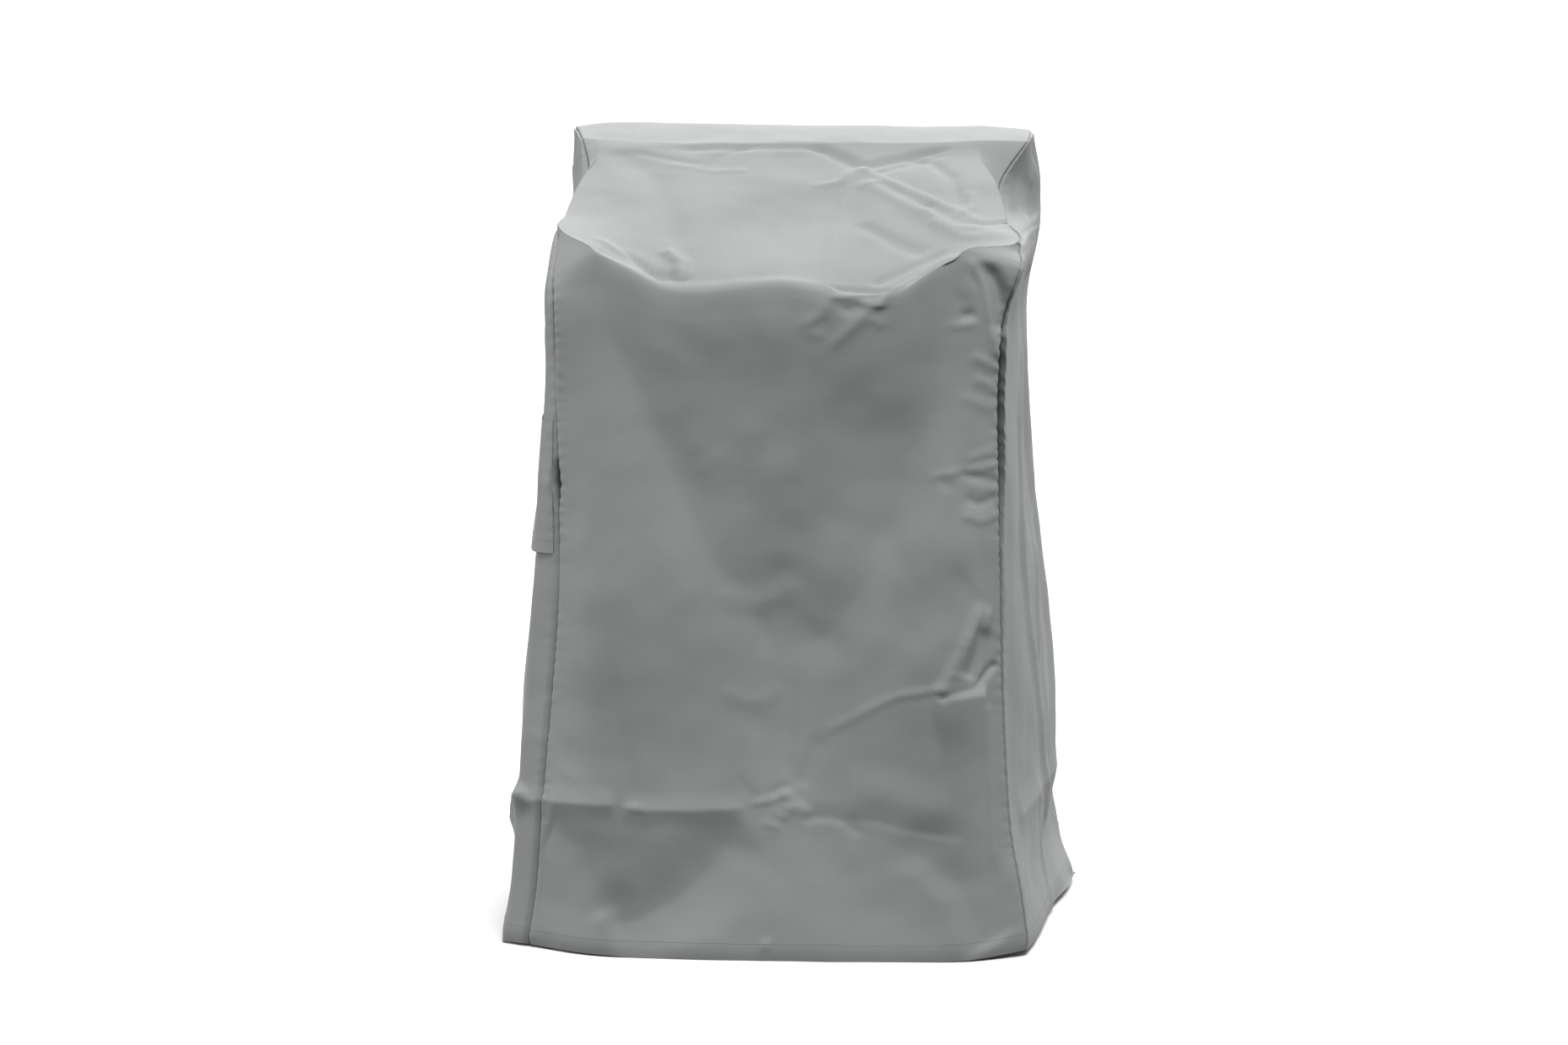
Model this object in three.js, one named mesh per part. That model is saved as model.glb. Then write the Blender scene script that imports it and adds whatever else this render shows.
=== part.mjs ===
import * as THREE from "three";

// A fitted patio chair cover, as it hangs over a high-backed chair that isn't part of it.
// One long strip of cloth makes the front, the slope over the arms, the top and the back.
// A side panel is sewn to each of its long edges, and a vent flap is sewn to the left side panel.
// The cover is hollow and open at the floor.
// X runs from left to right as seen from the front, the front faces -Y and Z is up.
// The origin is on the floor under the middle of the cover. All sizes are in millimetres.

// Driving dimensions
const clothThickness = 2;
const seamClearance = 0.3;
const topRows = 4;
const sideRowsPerBackRow = 2;
const sideColumns = 12;
const sideColumnCrowding = 0.55;
const stripColumns = [4, 5, 7, 7, 5, 4];
const sharpestSeam = -0.4;

// The strip is shaped by seven guide lines that run along it: the left seam, the left ridge,
// a line inside it, the middle, a line inside the right ridge, the right ridge and the right seam.
// Each section gives the place of the seven lines, how sharply the cloth bends across the ridges
// and along the strip (0 is round, 1 is a crisp edge), and the rows of facets up to the next one.
const sections = [
  {
    name: "front hem", rows: 2, ridgeBend: 0,
    across: [-341, -245, -130, 5, 150, 258, 334],
    depth: [-262, -318, -332, -335, -333, -323, -281],
    height: [4, 3, 1.5, 1, 1, 3, 9],
  },
  {
    name: "above the hem", rows: 3, ridgeBend: 0,
    across: [-330, -245, -130, 5, 145, 255, 324],
    depth: [-262, -311, -318, -320, -318, -313, -279],
    height: [72, 70, 70, 70, 70, 72, 80],
  },
  {
    name: "low packing crease", rows: 4, ridgeBend: 0,
    across: [-320, -245, -125, 5, 140, 255, 308],
    depth: [-266, -307, -307, -302, -305, -307, -271],
    height: [190, 185, 178, 172, 164, 162, 170],
  },
  {
    name: "shin", rows: 4, ridgeBend: 0,
    across: [-309, -248, -120, 5, 135, 252, 299],
    depth: [-264, -302, -296, -281, -294, -303, -265],
    height: [310, 310, 310, 310, 310, 310, 310],
  },
  {
    name: "knee", rows: 4, ridgeBend: 0,
    across: [-296, -250, -115, 5, 130, 250, 295],
    depth: [-260, -294, -280, -255, -275, -296, -260],
    height: [486, 486, 480, 477, 475, 472, 462],
  },
  {
    name: "seat", rows: 4, ridgeBend: 0,
    across: [-297, -252, -120, 5, 130, 250, 294],
    depth: [-254, -275, -253, -246, -250, -275, -254],
    height: [630, 630, 630, 630, 630, 630, 630],
  },
  {
    name: "under the arms", rows: 4, ridgeBend: 0.2,
    across: [-300, -253, -140, 5, 135, 250, 294],
    depth: [-247, -256, -246, -245, -246, -255, -246],
    height: [775, 775, 765, 760, 765, 775, 775],
  },
  {
    name: "arm height", rows: 2, ridgeBend: 0.6, edgeBend: 0.3,
    across: [-305, -255, -150, 5, 135, 252, 303],
    depth: [-240, -246, -244, -244, -243, -245, -238],
    height: [870, 880, 846, 850, 850, 880, 868],
  },
  {
    name: "front edge", rows: 2, ridgeBend: 0.9,
    across: [-309, -248, -155, 5, 133, 238, 319],
    depth: [-229, -235, -237, -236, -240, -236, -232],
    height: [914, 935, 884, 889, 872, 935, 912],
  },
  {
    name: "past the edge", rows: 4, ridgeBend: 0.8,
    across: [-312, -296, -160, 5, 132, 300, 316],
    depth: [-190, -198, -208, -209, -214, -196, -190],
    height: [930, 940, 898, 901, 887, 941, 930],
  },
  {
    name: "low slope", rows: 3, ridgeBend: 0.9,
    across: [-310, -303, -150, 5, 150, 292, 304],
    depth: [-80, -62, -60, -60, -60, -62, -80],
    height: [946, 972, 965, 963, 964, 969, 946],
  },
  {
    name: "high slope", rows: 2, ridgeBend: 0.9,
    across: [-292, -290, -145, 5, 140, 272, 282],
    depth: [50, 68, 64, 62, 62, 58, 60],
    height: [985, 1020, 1017, 1016, 1016, 1016, 975],
  },
  {
    name: "under the top edge", rows: 2, ridgeBend: 0.9,
    across: [-290, -279, -140, 5, 135, 250, 286],
    depth: [105, 128, 124, 122, 124, 128, 112],
    height: [1030, 1047, 1041, 1040, 1040, 1044, 1012],
  },
  {
    name: "top front edge", rows: topRows, ridgeBend: 0.6, edgeBend: 0.4,
    across: [-305, -277, -140, 5, 130, 248, 322],
    depth: [150, 160, 160, 158, 158, 160, 158],
    height: [1064, 1060, 1058, 1057, 1058, 1061, 1060],
  },
  {
    name: "top back edge", ridgeBend: 0, edgeBend: 0.75,
    across: [-329, -290, -140, 5, 140, 270, 324],
    depth: [276, 288, 292, 292, 292, 288, 276],
    height: [1067, 1077, 1077, 1076, 1074, 1073, 1063],
  },
  {
    name: "back shoulder", ridgeBend: 0,
    across: [-325, -290, -140, 5, 140, 275, 318],
    depth: [298, 306, 306, 306, 306, 306, 298],
    height: [1025, 1025, 1025, 1025, 1025, 1025, 1022],
  },
  {
    name: "back of the seat", ridgeBend: 0,
    across: [-318, -270, -140, 5, 140, 270, 312],
    depth: [308, 322, 328, 330, 328, 322, 308],
    height: [640, 640, 640, 640, 640, 640, 640],
  },
  {
    name: "back of the shins", ridgeBend: 0,
    across: [-330, -270, -140, 5, 140, 270, 330],
    depth: [312, 330, 335, 336, 335, 330, 312],
    height: [300, 300, 300, 300, 300, 300, 300],
  },
  {
    name: "back hem", ridgeBend: 0,
    across: [-345, -275, -140, 5, 140, 292, 375],
    depth: [316, 338, 343, 344, 343, 336, 318],
    height: [9, 5, 2, 1, 2, 7, 15],
  },
];

// How far out each side panel stands just behind its front seam, in its middle and just in front
// of its back seam, at the height of each of the strip's front sections. The three lines lie at
// the given shares of the way back, and the cloth bends over them with the given crispness.
const sideLines = { left: [0.04, 0.5, 0.88], right: [0.12, 0.5, 0.88] };
const sideBends = { left: [0, 0.9, 0, 0.3, 0], right: [0, 0.5, 0, 0.3, 0] };
const sideSpread = [
  { section: "front hem", left: [-379, -378, -364], right: [345, 363, 388] },
  { section: "above the hem", left: [-365, -367, -354], right: [333, 346, 358] },
  { section: "low packing crease", left: [-355, -360, -350], right: [321, 346, 359] },
  { section: "shin", left: [-346, -353, -346], right: [314, 343, 356] },
  { section: "knee", left: [-331, -342, -339], right: [310, 332, 342] },
  { section: "seat", left: [-319, -335, -336], right: [305, 316, 324] },
  { section: "under the arms", left: [-315, -331, -334], right: [303, 312, 318] },
  { section: "arm height", left: [-315, -333, -336], right: [309, 314, 318] },
  { section: "front edge", left: [-314, -328, -335], right: [321, 323, 326] },
  { section: "past the edge", left: [-313, -325, -334], right: [320, 324, 329] },
  { section: "low slope", left: [-310, -325, -333], right: [310, 323, 331] },
  { section: "high slope", left: [-299, -314, -328], right: [294, 318, 333] },
  { section: "under the top edge", left: [-299, -313, -328], right: [297, 319, 332] },
  { section: "top front edge", left: [-308, -318, -326], right: [322, 323, 325] },
];

// Folds on the strip, each along a path of [across, along] places on the flat cloth, measured
// from the strip's middle line and from its front hem. A fold rises from the cloth, or sinks
// into it, and fades over its width on both sides and over the given lengths at its two ends.
// A crest of 0 is soft and 1 is a pinched crease.
const stripFolds = [
  {
    name: "left edge of the dish", rise: -4.5, width: 60, crest: 0.4, fade: [20, 20],
    path: [[-262, 950], [-255, 881], [-238, 838], [-192, 750], [-154, 659], [-100, 532], [-16, 402]],
  },
  {
    name: "right edge of the dish", rise: -6, width: 60, crest: 0.4, fade: [20, 20],
    path: [
      [246, 943], [240, 885], [216, 840], [197, 727], [156, 611], [116, 504], [60, 424], [10, 398],
    ],
  },
  {
    name: "right half of the dish", rise: -5, width: 110, crest: 0, fade: [120, 80],
    path: [[120, 800], [110, 640], [72, 500]],
  },
  {
    name: "tip of the dish", rise: -2.5, width: 70, crest: 0, fade: [50, 50],
    path: [[-40, 440], [0, 405], [40, 440]],
  },
  {
    name: "upright packing crease", rise: -1.8, width: 32, crest: 0.7, fade: [30, 20],
    path: [[55, 880], [48, 785], [36, 690], [33, 568], [25, 478], [14, 387], [4, 235]],
  },
  {
    name: "billow left of the crease", rise: 2.5, width: 60, crest: 0, fade: [60, 40],
    path: [[0, 690], [-6, 560], [-4, 500]],
  },
  {
    name: "upper swag", rise: 2, width: 34, crest: 0.3, fade: [24, 24],
    path: [[-92, 484], [-64, 470], [-30, 466], [0, 478], [22, 500]],
  },
  {
    name: "hollow under the upper swag", rise: -3, width: 44, crest: 0, fade: [26, 26],
    path: [[-46, 428], [-6, 428]],
  },
  {
    name: "lower swag", rise: 1.3, width: 30, crest: 0.3, fade: [14, 14],
    path: [[-84, 356], [-56, 338], [-30, 336], [2, 358]],
  },
  {
    name: "hollow under the lower swag", rise: -1.4, width: 34, crest: 0, fade: [16, 16],
    path: [[-50, 306], [-22, 306]],
  },
  {
    name: "small swag in the dish", rise: 1.6, width: 36, crest: 0.1, fade: [40, 40],
    path: [[-130, 628], [-100, 650], [-60, 686]],
  },
  {
    name: "left flank crease", rise: -1.8, width: 32, crest: 0.5, fade: [50, 6],
    path: [[-268, 560], [-251, 425], [-220, 302], [-196, 196]],
  },
  {
    name: "low packing crease, left", rise: 4, width: 36, crest: 0.6, fade: [4, 8],
    path: [[-350, 184], [-265, 194], [-218, 197], [-187, 191], [-114, 194], [-44, 199]],
  },
  {
    name: "swell over the low crease", rise: 4, width: 80, crest: 0.2, fade: [20, 40],
    path: [[-330, 190], [-206, 194], [-60, 190]],
  },
  {
    name: "low packing crease, right", rise: -6, width: 56, crest: 0.5, fade: [16, 40],
    path: [[84, 196], [126, 196], [176, 185], [250, 178]],
  },
  {
    name: "valley over the hem, left", rise: -9, width: 76, crest: 0.4, fade: [20, 30],
    path: [[-42, 193], [-62, 172], [-90, 120], [-135, 83], [-187, 52], [-240, 42]],
  },
  {
    name: "valley up from the left hem", rise: -4, width: 44, crest: 0.3, fade: [20, 10],
    path: [[-236, 48], [-256, 92], [-272, 134], [-326, 158]],
  },
  {
    name: "valley over the hem, right", rise: -7, width: 56, crest: 0.3, fade: [40, 40],
    path: [[150, 160], [209, 143], [244, 96], [262, 40]],
  },
  {
    name: "swag at the right flank", rise: -2.4, width: 54, crest: 0, fade: [30, 20],
    path: [[128, 470], [174, 455], [223, 473], [262, 512]],
  },
  {
    name: "patch over that swag", rise: 2.4, width: 56, crest: 0, fade: [30, 20],
    path: [[157, 520], [206, 545], [265, 557]],
  },
  {
    name: "edge by the pinch", rise: 4, width: 30, crest: 0.4, fade: [24, 6],
    path: [[276, 486], [250, 424], [229, 380], [210, 352]],
  },
  {
    name: "facet by the pinch", rise: -4, width: 30, crest: 0.1, fade: [20, 8],
    path: [[276, 450], [262, 412], [246, 376]],
  },
  {
    name: "pinch at the right seam", rise: -4, width: 26, crest: 0.5, fade: [0, 12],
    path: [[312, 400], [278, 377], [266, 361], [233, 354], [208, 347]],
  },
  {
    name: "drape under the pinch", rise: -6, width: 80, crest: 0.1, fade: [20, 50],
    path: [[312, 250], [262, 232], [204, 202]],
  },
  {
    name: "ridge to the right arm", rise: 5, width: 28, crest: 0.5, fade: [8, 14],
    path: [[122, 878], [143, 912], [167, 937], [202, 967], [234, 978]],
  },
  {
    name: "crease over that ridge", rise: -4, width: 24, crest: 0.5, fade: [14, 20],
    path: [[112, 950], [136, 967], [172, 984], [217, 1000]],
  },
  {
    name: "hollow under the slope", rise: -3, width: 26, crest: 0.3, fade: [14, 14],
    path: [[56, 922], [106, 931], [150, 929]],
  },
  {
    name: "hollow beside the right arm", rise: -11, width: 30, crest: 0.2, fade: [10, 14],
    path: [[288, 906], [292, 876], [294, 852], [290, 830]],
  },
  {
    name: "upright fold under the arm", rise: 5, width: 26, crest: 0.3, fade: [10, 24],
    path: [[262, 900], [273, 872], [275, 840], [279, 812], [286, 780]],
  },
  {
    name: "face of the right arm", rise: 5, width: 28, crest: 0.2, fade: [10, 14],
    path: [[276, 934], [250, 888], [238, 856]],
  },
  {
    name: "pocket by the left arm", rise: -5, width: 24, crest: 0.2, fade: [8, 8],
    path: [[-172, 958], [-128, 948]],
  },
  {
    name: "valley under the top, left arm", rise: -6, width: 30, crest: 0.4, fade: [30, 12],
    path: [[8, 1332], [86, 1242]],
  },
  {
    name: "valley under the top, right arm", rise: -6, width: 28, crest: 0.4, fade: [12, 40],
    path: [[86, 1242], [214, 1312]],
  },
  {
    name: "slanting crease on the slope", rise: 5, width: 34, crest: 0.5, fade: [20, 50],
    path: [[88, 1200], [170, 1100], [207, 1062], [318, 984]],
  },
  {
    name: "sag of the slope", rise: -7, width: 130, crest: 0, fade: [60, 60],
    path: [[-100, 1110], [20, 1080], [120, 1120]],
  },
  {
    name: "slanting valley on the slope", rise: -4, width: 50, crest: 0.2, fade: [20, 40],
    path: [[-250, 1290], [-175, 1154], [-120, 1060]],
  },
  {
    name: "back packing crease", rise: 4, width: 40, crest: 0.6, fade: [60, 60],
    path: [[5, 1560], [-4, 1900], [6, 2300], [0, 2480]],
  },
  {
    name: "low packing crease, back", rise: 6, width: 50, crest: 0.6, fade: [40, 40],
    path: [[-300, 2352], [-90, 2340], [120, 2348], [300, 2338]],
  },
  {
    name: "drape of the back, left", rise: -8, width: 70, crest: 0, fade: [120, 160],
    path: [[-250, 1560], [-170, 1850], [-190, 2250]],
  },
  {
    name: "drape of the back, right", rise: -8, width: 80, crest: 0, fade: [120, 160],
    path: [[250, 1580], [150, 1900], [180, 2260]],
  },
];

// Folds on the side panels, each along a path of [depth, height] places
const sideFolds = {
  left: [
    {
      name: "slanting fold low on the front", rise: 6, width: 44, crest: 0.4, fade: [10, 40],
      path: [[-246, 205], [-170, 145], [-60, 118]],
    },
    {
      name: "hanging fold behind the arm", rise: 5, width: 60, crest: 0.1, fade: [60, 120],
      path: [[-60, 860], [-20, 600], [10, 300], [40, 60]],
    },
    {
      name: "hollow before the back", rise: -9, width: 80, crest: 0, fade: [120, 120],
      path: [[150, 900], [150, 560], [170, 160]],
    },
    {
      name: "fold from the top corner", rise: 5, width: 44, crest: 0.3, fade: [20, 40],
      path: [[240, 1030], [120, 940], [-20, 860]],
    },
  ],
  right: [
    {
      name: "hanging fold under the arm", rise: 6, width: 46, crest: 0.4, fade: [60, 60],
      path: [[60, 800], [-60, 690], [-86, 534], [-70, 420], [-27, 320], [30, 220], [120, 90]],
    },
    {
      name: "hollow before the back", rise: -7, width: 70, crest: 0, fade: [100, 120],
      path: [[150, 820], [120, 600], [140, 240]],
    },
    {
      name: "fold to the hem", rise: 4, width: 34, crest: 0.4, fade: [20, 0],
      path: [[-60, 200], [0, 100], [20, 0]],
    },
    {
      name: "fold at the back corner", rise: 5, width: 36, crest: 0.4, fade: [10, 10],
      path: [[300, 84], [250, 42], [228, 8]],
    },
    {
      name: "fold from the top corner", rise: 6, width: 40, crest: 0.4, fade: [20, 30],
      path: [[236, 1030], [150, 965], [10, 880]],
    },
  ],
};

// The vent flap covers whole facets of the left side panel, counted from the front seam
// and from the named sections of the front
const flap = {
  firstColumn: 1, lastColumn: 5,
  bottomSection: "knee", bottomRowsAbove: 1,
  topSection: "seat", topRowsAbove: 2,
  facetSplit: 2,
  clearance: 0.6,
  lift: 5,
};

// Vector helpers on plain [x, y, z] lists
const add = (a, b) => a.map((value, i) => value + b[i]);
const subtract = (a, b) => a.map((value, i) => value - b[i]);
const scale = (a, factor) => a.map((value) => value * factor);
const mix = (a, b, share) => a.map((value, i) => value + (b[i] - value) * share);
const dot = (a, b) => a.reduce((sum, value, i) => sum + value * b[i], 0);
const length = (a) => Math.sqrt(dot(a, a));
const unit = (a) => scale(a, 1 / length(a));
const cross = (a, b) => [
  a[1] * b[2] - a[2] * b[1],
  a[2] * b[0] - a[0] * b[2],
  a[0] * b[1] - a[1] * b[0],
];

// Running length along a line of points, starting from zero
function runningLength(points) {
  const lengths = [0];
  for (let i = 1; i < points.length; i += 1) {
    lengths.push(lengths[i - 1] + length(subtract(points[i], points[i - 1])));
  }
  return lengths;
}

// A smooth line through points at uneven stations. The bend of a point is 0 where the line
// passes through it smoothly and 1 where it turns a crisp corner.
class GuideLine {
  constructor(stations, points, bends = []) {
    this.stations = stations;
    this.points = points;
    const last = points.length - 1;
    const pace = [];
    for (let i = 0; i < last; i += 1) {
      pace.push(scale(subtract(points[i + 1], points[i]), 1 / (stations[i + 1] - stations[i])));
    }
    this.arriving = [];
    this.leaving = [];
    for (let i = 0; i <= last; i += 1) {
      const before = pace[Math.max(i - 1, 0)];
      const after = pace[Math.min(i, last - 1)];
      const inner = i > 0 && i < last;
      const spanBefore = inner ? stations[i] - stations[i - 1] : 1;
      const spanAfter = inner ? stations[i + 1] - stations[i] : 1;
      const smooth = mix(before, after, spanBefore / (spanBefore + spanAfter));
      const bend = bends[i] ?? 0;
      this.arriving.push(mix(smooth, before, bend));
      this.leaving.push(mix(smooth, after, bend));
    }
  }

  at(station) {
    const { stations, points } = this;
    let i = 0;
    while (i < stations.length - 2 && station >= stations[i + 1]) i += 1;
    const span = stations[i + 1] - stations[i];
    const s = (station - stations[i]) / span;
    const fromStart = scale(points[i], 2 * s ** 3 - 3 * s ** 2 + 1);
    const toEnd = scale(points[i + 1], 3 * s ** 2 - 2 * s ** 3);
    const leaving = scale(this.leaving[i], span * (s ** 3 - 2 * s ** 2 + s));
    const arriving = scale(this.arriving[i + 1], span * (s ** 3 - s ** 2));
    return add(add(fromStart, toEnd), add(leaving, arriving));
  }
}

// Height of a fold's profile at a share of its width, from 1 on its line to 0 at its foot
function foldProfile(share, crest) {
  const soft = 0.5 + 0.5 * Math.cos(Math.PI * share);
  const pinched = (1 - share) ** 2;
  return soft * (1 - crest) + pinched * crest;
}

const easeIn = (share) => {
  const s = Math.min(Math.max(share, 0), 1);
  return s * s * (3 - 2 * s);
};

// How far all folds together lift the cloth at one place of a flat panel
function foldLift(folds, place) {
  let lift = 0;
  for (const fold of folds) {
    const runs = runningLength(fold.path);
    const total = runs[runs.length - 1];
    let nearest = Infinity;
    let run = 0;
    for (let i = 0; i + 1 < fold.path.length; i += 1) {
      const leg = subtract(fold.path[i + 1], fold.path[i]);
      const toPlace = subtract(place, fold.path[i]);
      const share = Math.min(Math.max(dot(toPlace, leg) / dot(leg, leg), 0), 1);
      const distance = length(subtract(toPlace, scale(leg, share)));
      if (distance < nearest) {
        nearest = distance;
        run = runs[i] + share * length(leg);
      }
    }
    if (nearest >= fold.width) continue;
    const startFade = fold.fade[0] > 0 ? easeIn(run / fold.fade[0]) : 1;
    const endFade = fold.fade[1] > 0 ? easeIn((total - run) / fold.fade[1]) : 1;
    lift += fold.rise * startFade * endFade * foldProfile(nearest / fold.width, fold.crest);
  }
  return lift;
}

// Outward normals of a grid of points whose rows and columns turn right-handed to the outside
function gridNormals(grid) {
  const rowLast = grid.length - 1;
  return grid.map((row, i) => row.map((_, j) => {
    const columnLast = row.length - 1;
    const up = subtract(grid[Math.min(i + 1, rowLast)][j], grid[Math.max(i - 1, 0)][j]);
    const along = subtract(row[Math.min(j + 1, columnLast)], row[Math.max(j - 1, 0)]);
    return unit(cross(along, up));
  }));
}

// A copy of a grid with each point moved along its normal by a lift
function liftGrid(grid, lifts) {
  const normals = gridNormals(grid);
  return grid.map((row, i) => row.map((point, j) => add(point, scale(normals[i][j], lifts[i][j]))));
}

// A closed sheet between an outer and an inner grid of the same size
function closedSheet(name, outer, inner, material) {
  const rows = outer.length;
  const columns = outer[0].length;
  const positions = [...outer.flat(), ...inner.flat()].flat();
  const faces = [];
  const outerAt = (i, j) => i * columns + j;
  const innerAt = (i, j) => rows * columns + outerAt(i, j);
  const quad = (a, b, c, d) => faces.push(a, b, c, a, c, d);
  for (let i = 0; i + 1 < rows; i += 1) {
    for (let j = 0; j + 1 < columns; j += 1) {
      quad(outerAt(i, j), outerAt(i, j + 1), outerAt(i + 1, j + 1), outerAt(i + 1, j));
      quad(innerAt(i, j), innerAt(i + 1, j), innerAt(i + 1, j + 1), innerAt(i, j + 1));
    }
  }
  for (let j = 0; j + 1 < columns; j += 1) {
    const top = rows - 1;
    quad(outerAt(0, j), innerAt(0, j), innerAt(0, j + 1), outerAt(0, j + 1));
    quad(outerAt(top, j), outerAt(top, j + 1), innerAt(top, j + 1), innerAt(top, j));
  }
  for (let i = 0; i + 1 < rows; i += 1) {
    const end = columns - 1;
    quad(outerAt(i, 0), outerAt(i + 1, 0), innerAt(i + 1, 0), innerAt(i, 0));
    quad(outerAt(i, end), innerAt(i, end), innerAt(i + 1, end), outerAt(i + 1, end));
  }
  const geometry = new THREE.BufferGeometry();
  geometry.setAttribute("position", new THREE.Float32BufferAttribute(positions, 3));
  geometry.setIndex(faces);
  geometry.computeVertexNormals();
  const mesh = new THREE.Mesh(geometry, material);
  mesh.name = name;
  return mesh;
}

// Stations of the sections along the cloth: the mean run of the two seams and the middle
const guideCount = 7;
const middleGuide = 3;
const sectionPoints = (section) =>
  section.across.map((x, i) => [x, section.depth[i], section.height[i]]);
const guidePoints = [];
for (let g = 0; g < guideCount; g += 1) {
  guidePoints.push(sections.map((section) => sectionPoints(section)[g]));
}
const guideRuns = [0, middleGuide, guideCount - 1].map((g) => runningLength(guidePoints[g]));
const sectionStations = sections.map((_, i) =>
  guideRuns.reduce((sum, runs) => sum + runs[i], 0) / guideRuns.length);
const edgeBends = sections.map((section) => section.edgeBend ?? 0);
const guides = guidePoints.map((points) => new GuideLine(sectionStations, points, edgeBends));
const bendLine = new GuideLine(sectionStations, sections.map((s) => [s.ridgeBend]), sections.map(() => 1));
const sectionIndex = (name) => sections.findIndex((section) => section.name === name);
const topFront = sectionIndex("top front edge");
const topBack = sectionIndex("top back edge");

// One row of the strip: its points and how far each lies from the middle line
function stripRow(station) {
  const row = guides.map((guide) => guide.at(station));
  const ridgeBend = bendLine.at(station)[0];
  const bends = [0, ridgeBend, 0, 0, 0, ridgeBend, 0];
  const stations = runningLength(row);
  const line = new GuideLine(stations, row, bends);
  const points = [row[0]];
  for (let g = 0; g + 1 < guideCount; g += 1) {
    for (let k = 1; k <= stripColumns[g]; k += 1) {
      const share = k / stripColumns[g];
      points.push(line.at(stations[g] + (stations[g + 1] - stations[g]) * share));
    }
  }
  const runs = runningLength(points);
  const middleColumn = stripColumns[0] + stripColumns[1] + stripColumns[2];
  const across = runs.map((run) => run - runs[middleColumn]);
  return { station, points, across };
}

// Stations of the rows from the front hem up to the top, over the top, and down the back,
// where each row lies level with a row of the front
const meanSeamHeight = (station) =>
  (guides[0].at(station)[2] + guides[guideCount - 1].at(station)[2]) / 2;
function backStationAt(height) {
  let high = sectionStations[topBack];
  let low = sectionStations[sections.length - 1];
  for (let pass = 0; pass < 40; pass += 1) {
    const middle = (high + low) / 2;
    if (meanSeamHeight(middle) > height) high = middle;
    else low = middle;
  }
  return (high + low) / 2;
}
const frontStations = [0];
const rowOfSection = [0];
for (let i = 0; i < topFront; i += 1) {
  for (let k = 1; k <= sections[i].rows; k += 1) {
    const share = k / sections[i].rows;
    frontStations.push(
      sectionStations[i] + (sectionStations[i + 1] - sectionStations[i]) * share);
  }
  rowOfSection.push(frontStations.length - 1);
}
const sideRows = frontStations.length - 1;
const topStations = [];
for (let k = 1; k <= topRows; k += 1) {
  const share = k / topRows;
  topStations.push(
    sectionStations[topFront] + (sectionStations[topBack] - sectionStations[topFront]) * share);
}
const backStations = [];
for (let k = sideRows - sideRowsPerBackRow; k >= 0; k -= sideRowsPerBackRow) {
  const level = meanSeamHeight(frontStations[k]);
  backStations.push(k === 0 ? sectionStations[sections.length - 1] : backStationAt(level));
}
const stripStations = [...frontStations, ...topStations, ...backStations];

// The strip's outer face
const stripBase = stripStations.map(stripRow);
const stripLifts = stripBase.map((row) =>
  row.across.map((across) => foldLift(stripFolds, [across, row.station])));
const stripOuter = liftGrid(stripBase.map((row) => row.points), stripLifts);
const stripNormals = gridNormals(stripOuter);
const stripEnd = stripOuter[0].length - 1;

// A place on the strip's seam line, counted in rows of the strip
const seamColumn = (side) => (side === "left" ? 0 : stripEnd);
function alongSeam(grid, side, row) {
  const below = Math.min(Math.floor(row), grid.length - 2);
  const column = seamColumn(side);
  return mix(grid[below][column], grid[below + 1][column], row - below);
}
const topFrontRow = sideRows;
const topBackRow = sideRows + topRows;
const backSeamRow = (sideRow) => topBackRow + (sideRows - sideRow) / sideRowsPerBackRow;

// Shares of the way from the front seam to the back seam, closer together near the seams
const columnShares = [];
for (let k = 0; k <= sideColumns; k += 1) {
  const turn = k / sideColumns;
  columnShares.push(turn - (sideColumnCrowding * Math.sin(2 * Math.PI * turn)) / (2 * Math.PI));
}

// A side panel's outer face, in rows from the hem to the top and columns from front to back
function sideGrid(side) {
  const stations = sectionStations.slice(0, topFront + 1);
  const spread = new GuideLine(stations, sideSpread.map((level) => level[side]));
  const grid = [];
  const lifts = [];
  for (let i = 0; i <= sideRows; i += 1) {
    const front = alongSeam(stripOuter, side, i);
    const back = alongSeam(stripOuter, side, backSeamRow(i));
    const lines = spread.at(frontStations[i]);
    const across = new GuideLine(
      [0, ...sideLines[side], 1],
      [[front[0]], ...lines.map((x) => [x]), [back[0]]],
      sideBends[side],
    );
    const row = columnShares.map((share) => {
      const straight = mix(front, back, share);
      return [across.at(share)[0], straight[1], straight[2]];
    });
    row[0] = front;
    row[sideColumns] = back;
    grid.push(row);
    lifts.push(row.map((point) => foldLift(sideFolds[side], [point[1], point[2]])));
  }
  for (let j = 0; j <= sideColumns; j += 1) {
    const row = topFrontRow + (topRows * j) / sideColumns;
    grid[sideRows][j] = alongSeam(stripOuter, side, row);
    lifts[sideRows][j] = 0;
  }
  lifts.forEach((row) => {
    row[0] = 0;
    row[sideColumns] = 0;
  });
  return facingOut(side, liftGrid(facingOut(side, grid), facingOut(side, lifts)));
}

// The left panel's columns run from front to back, which turns its faces inwards, so its rows
// are read the other way round for normals and faces
const facingOut = (side, grid) => (side === "left" ? grid.map((row) => [...row].reverse()) : grid);

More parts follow.
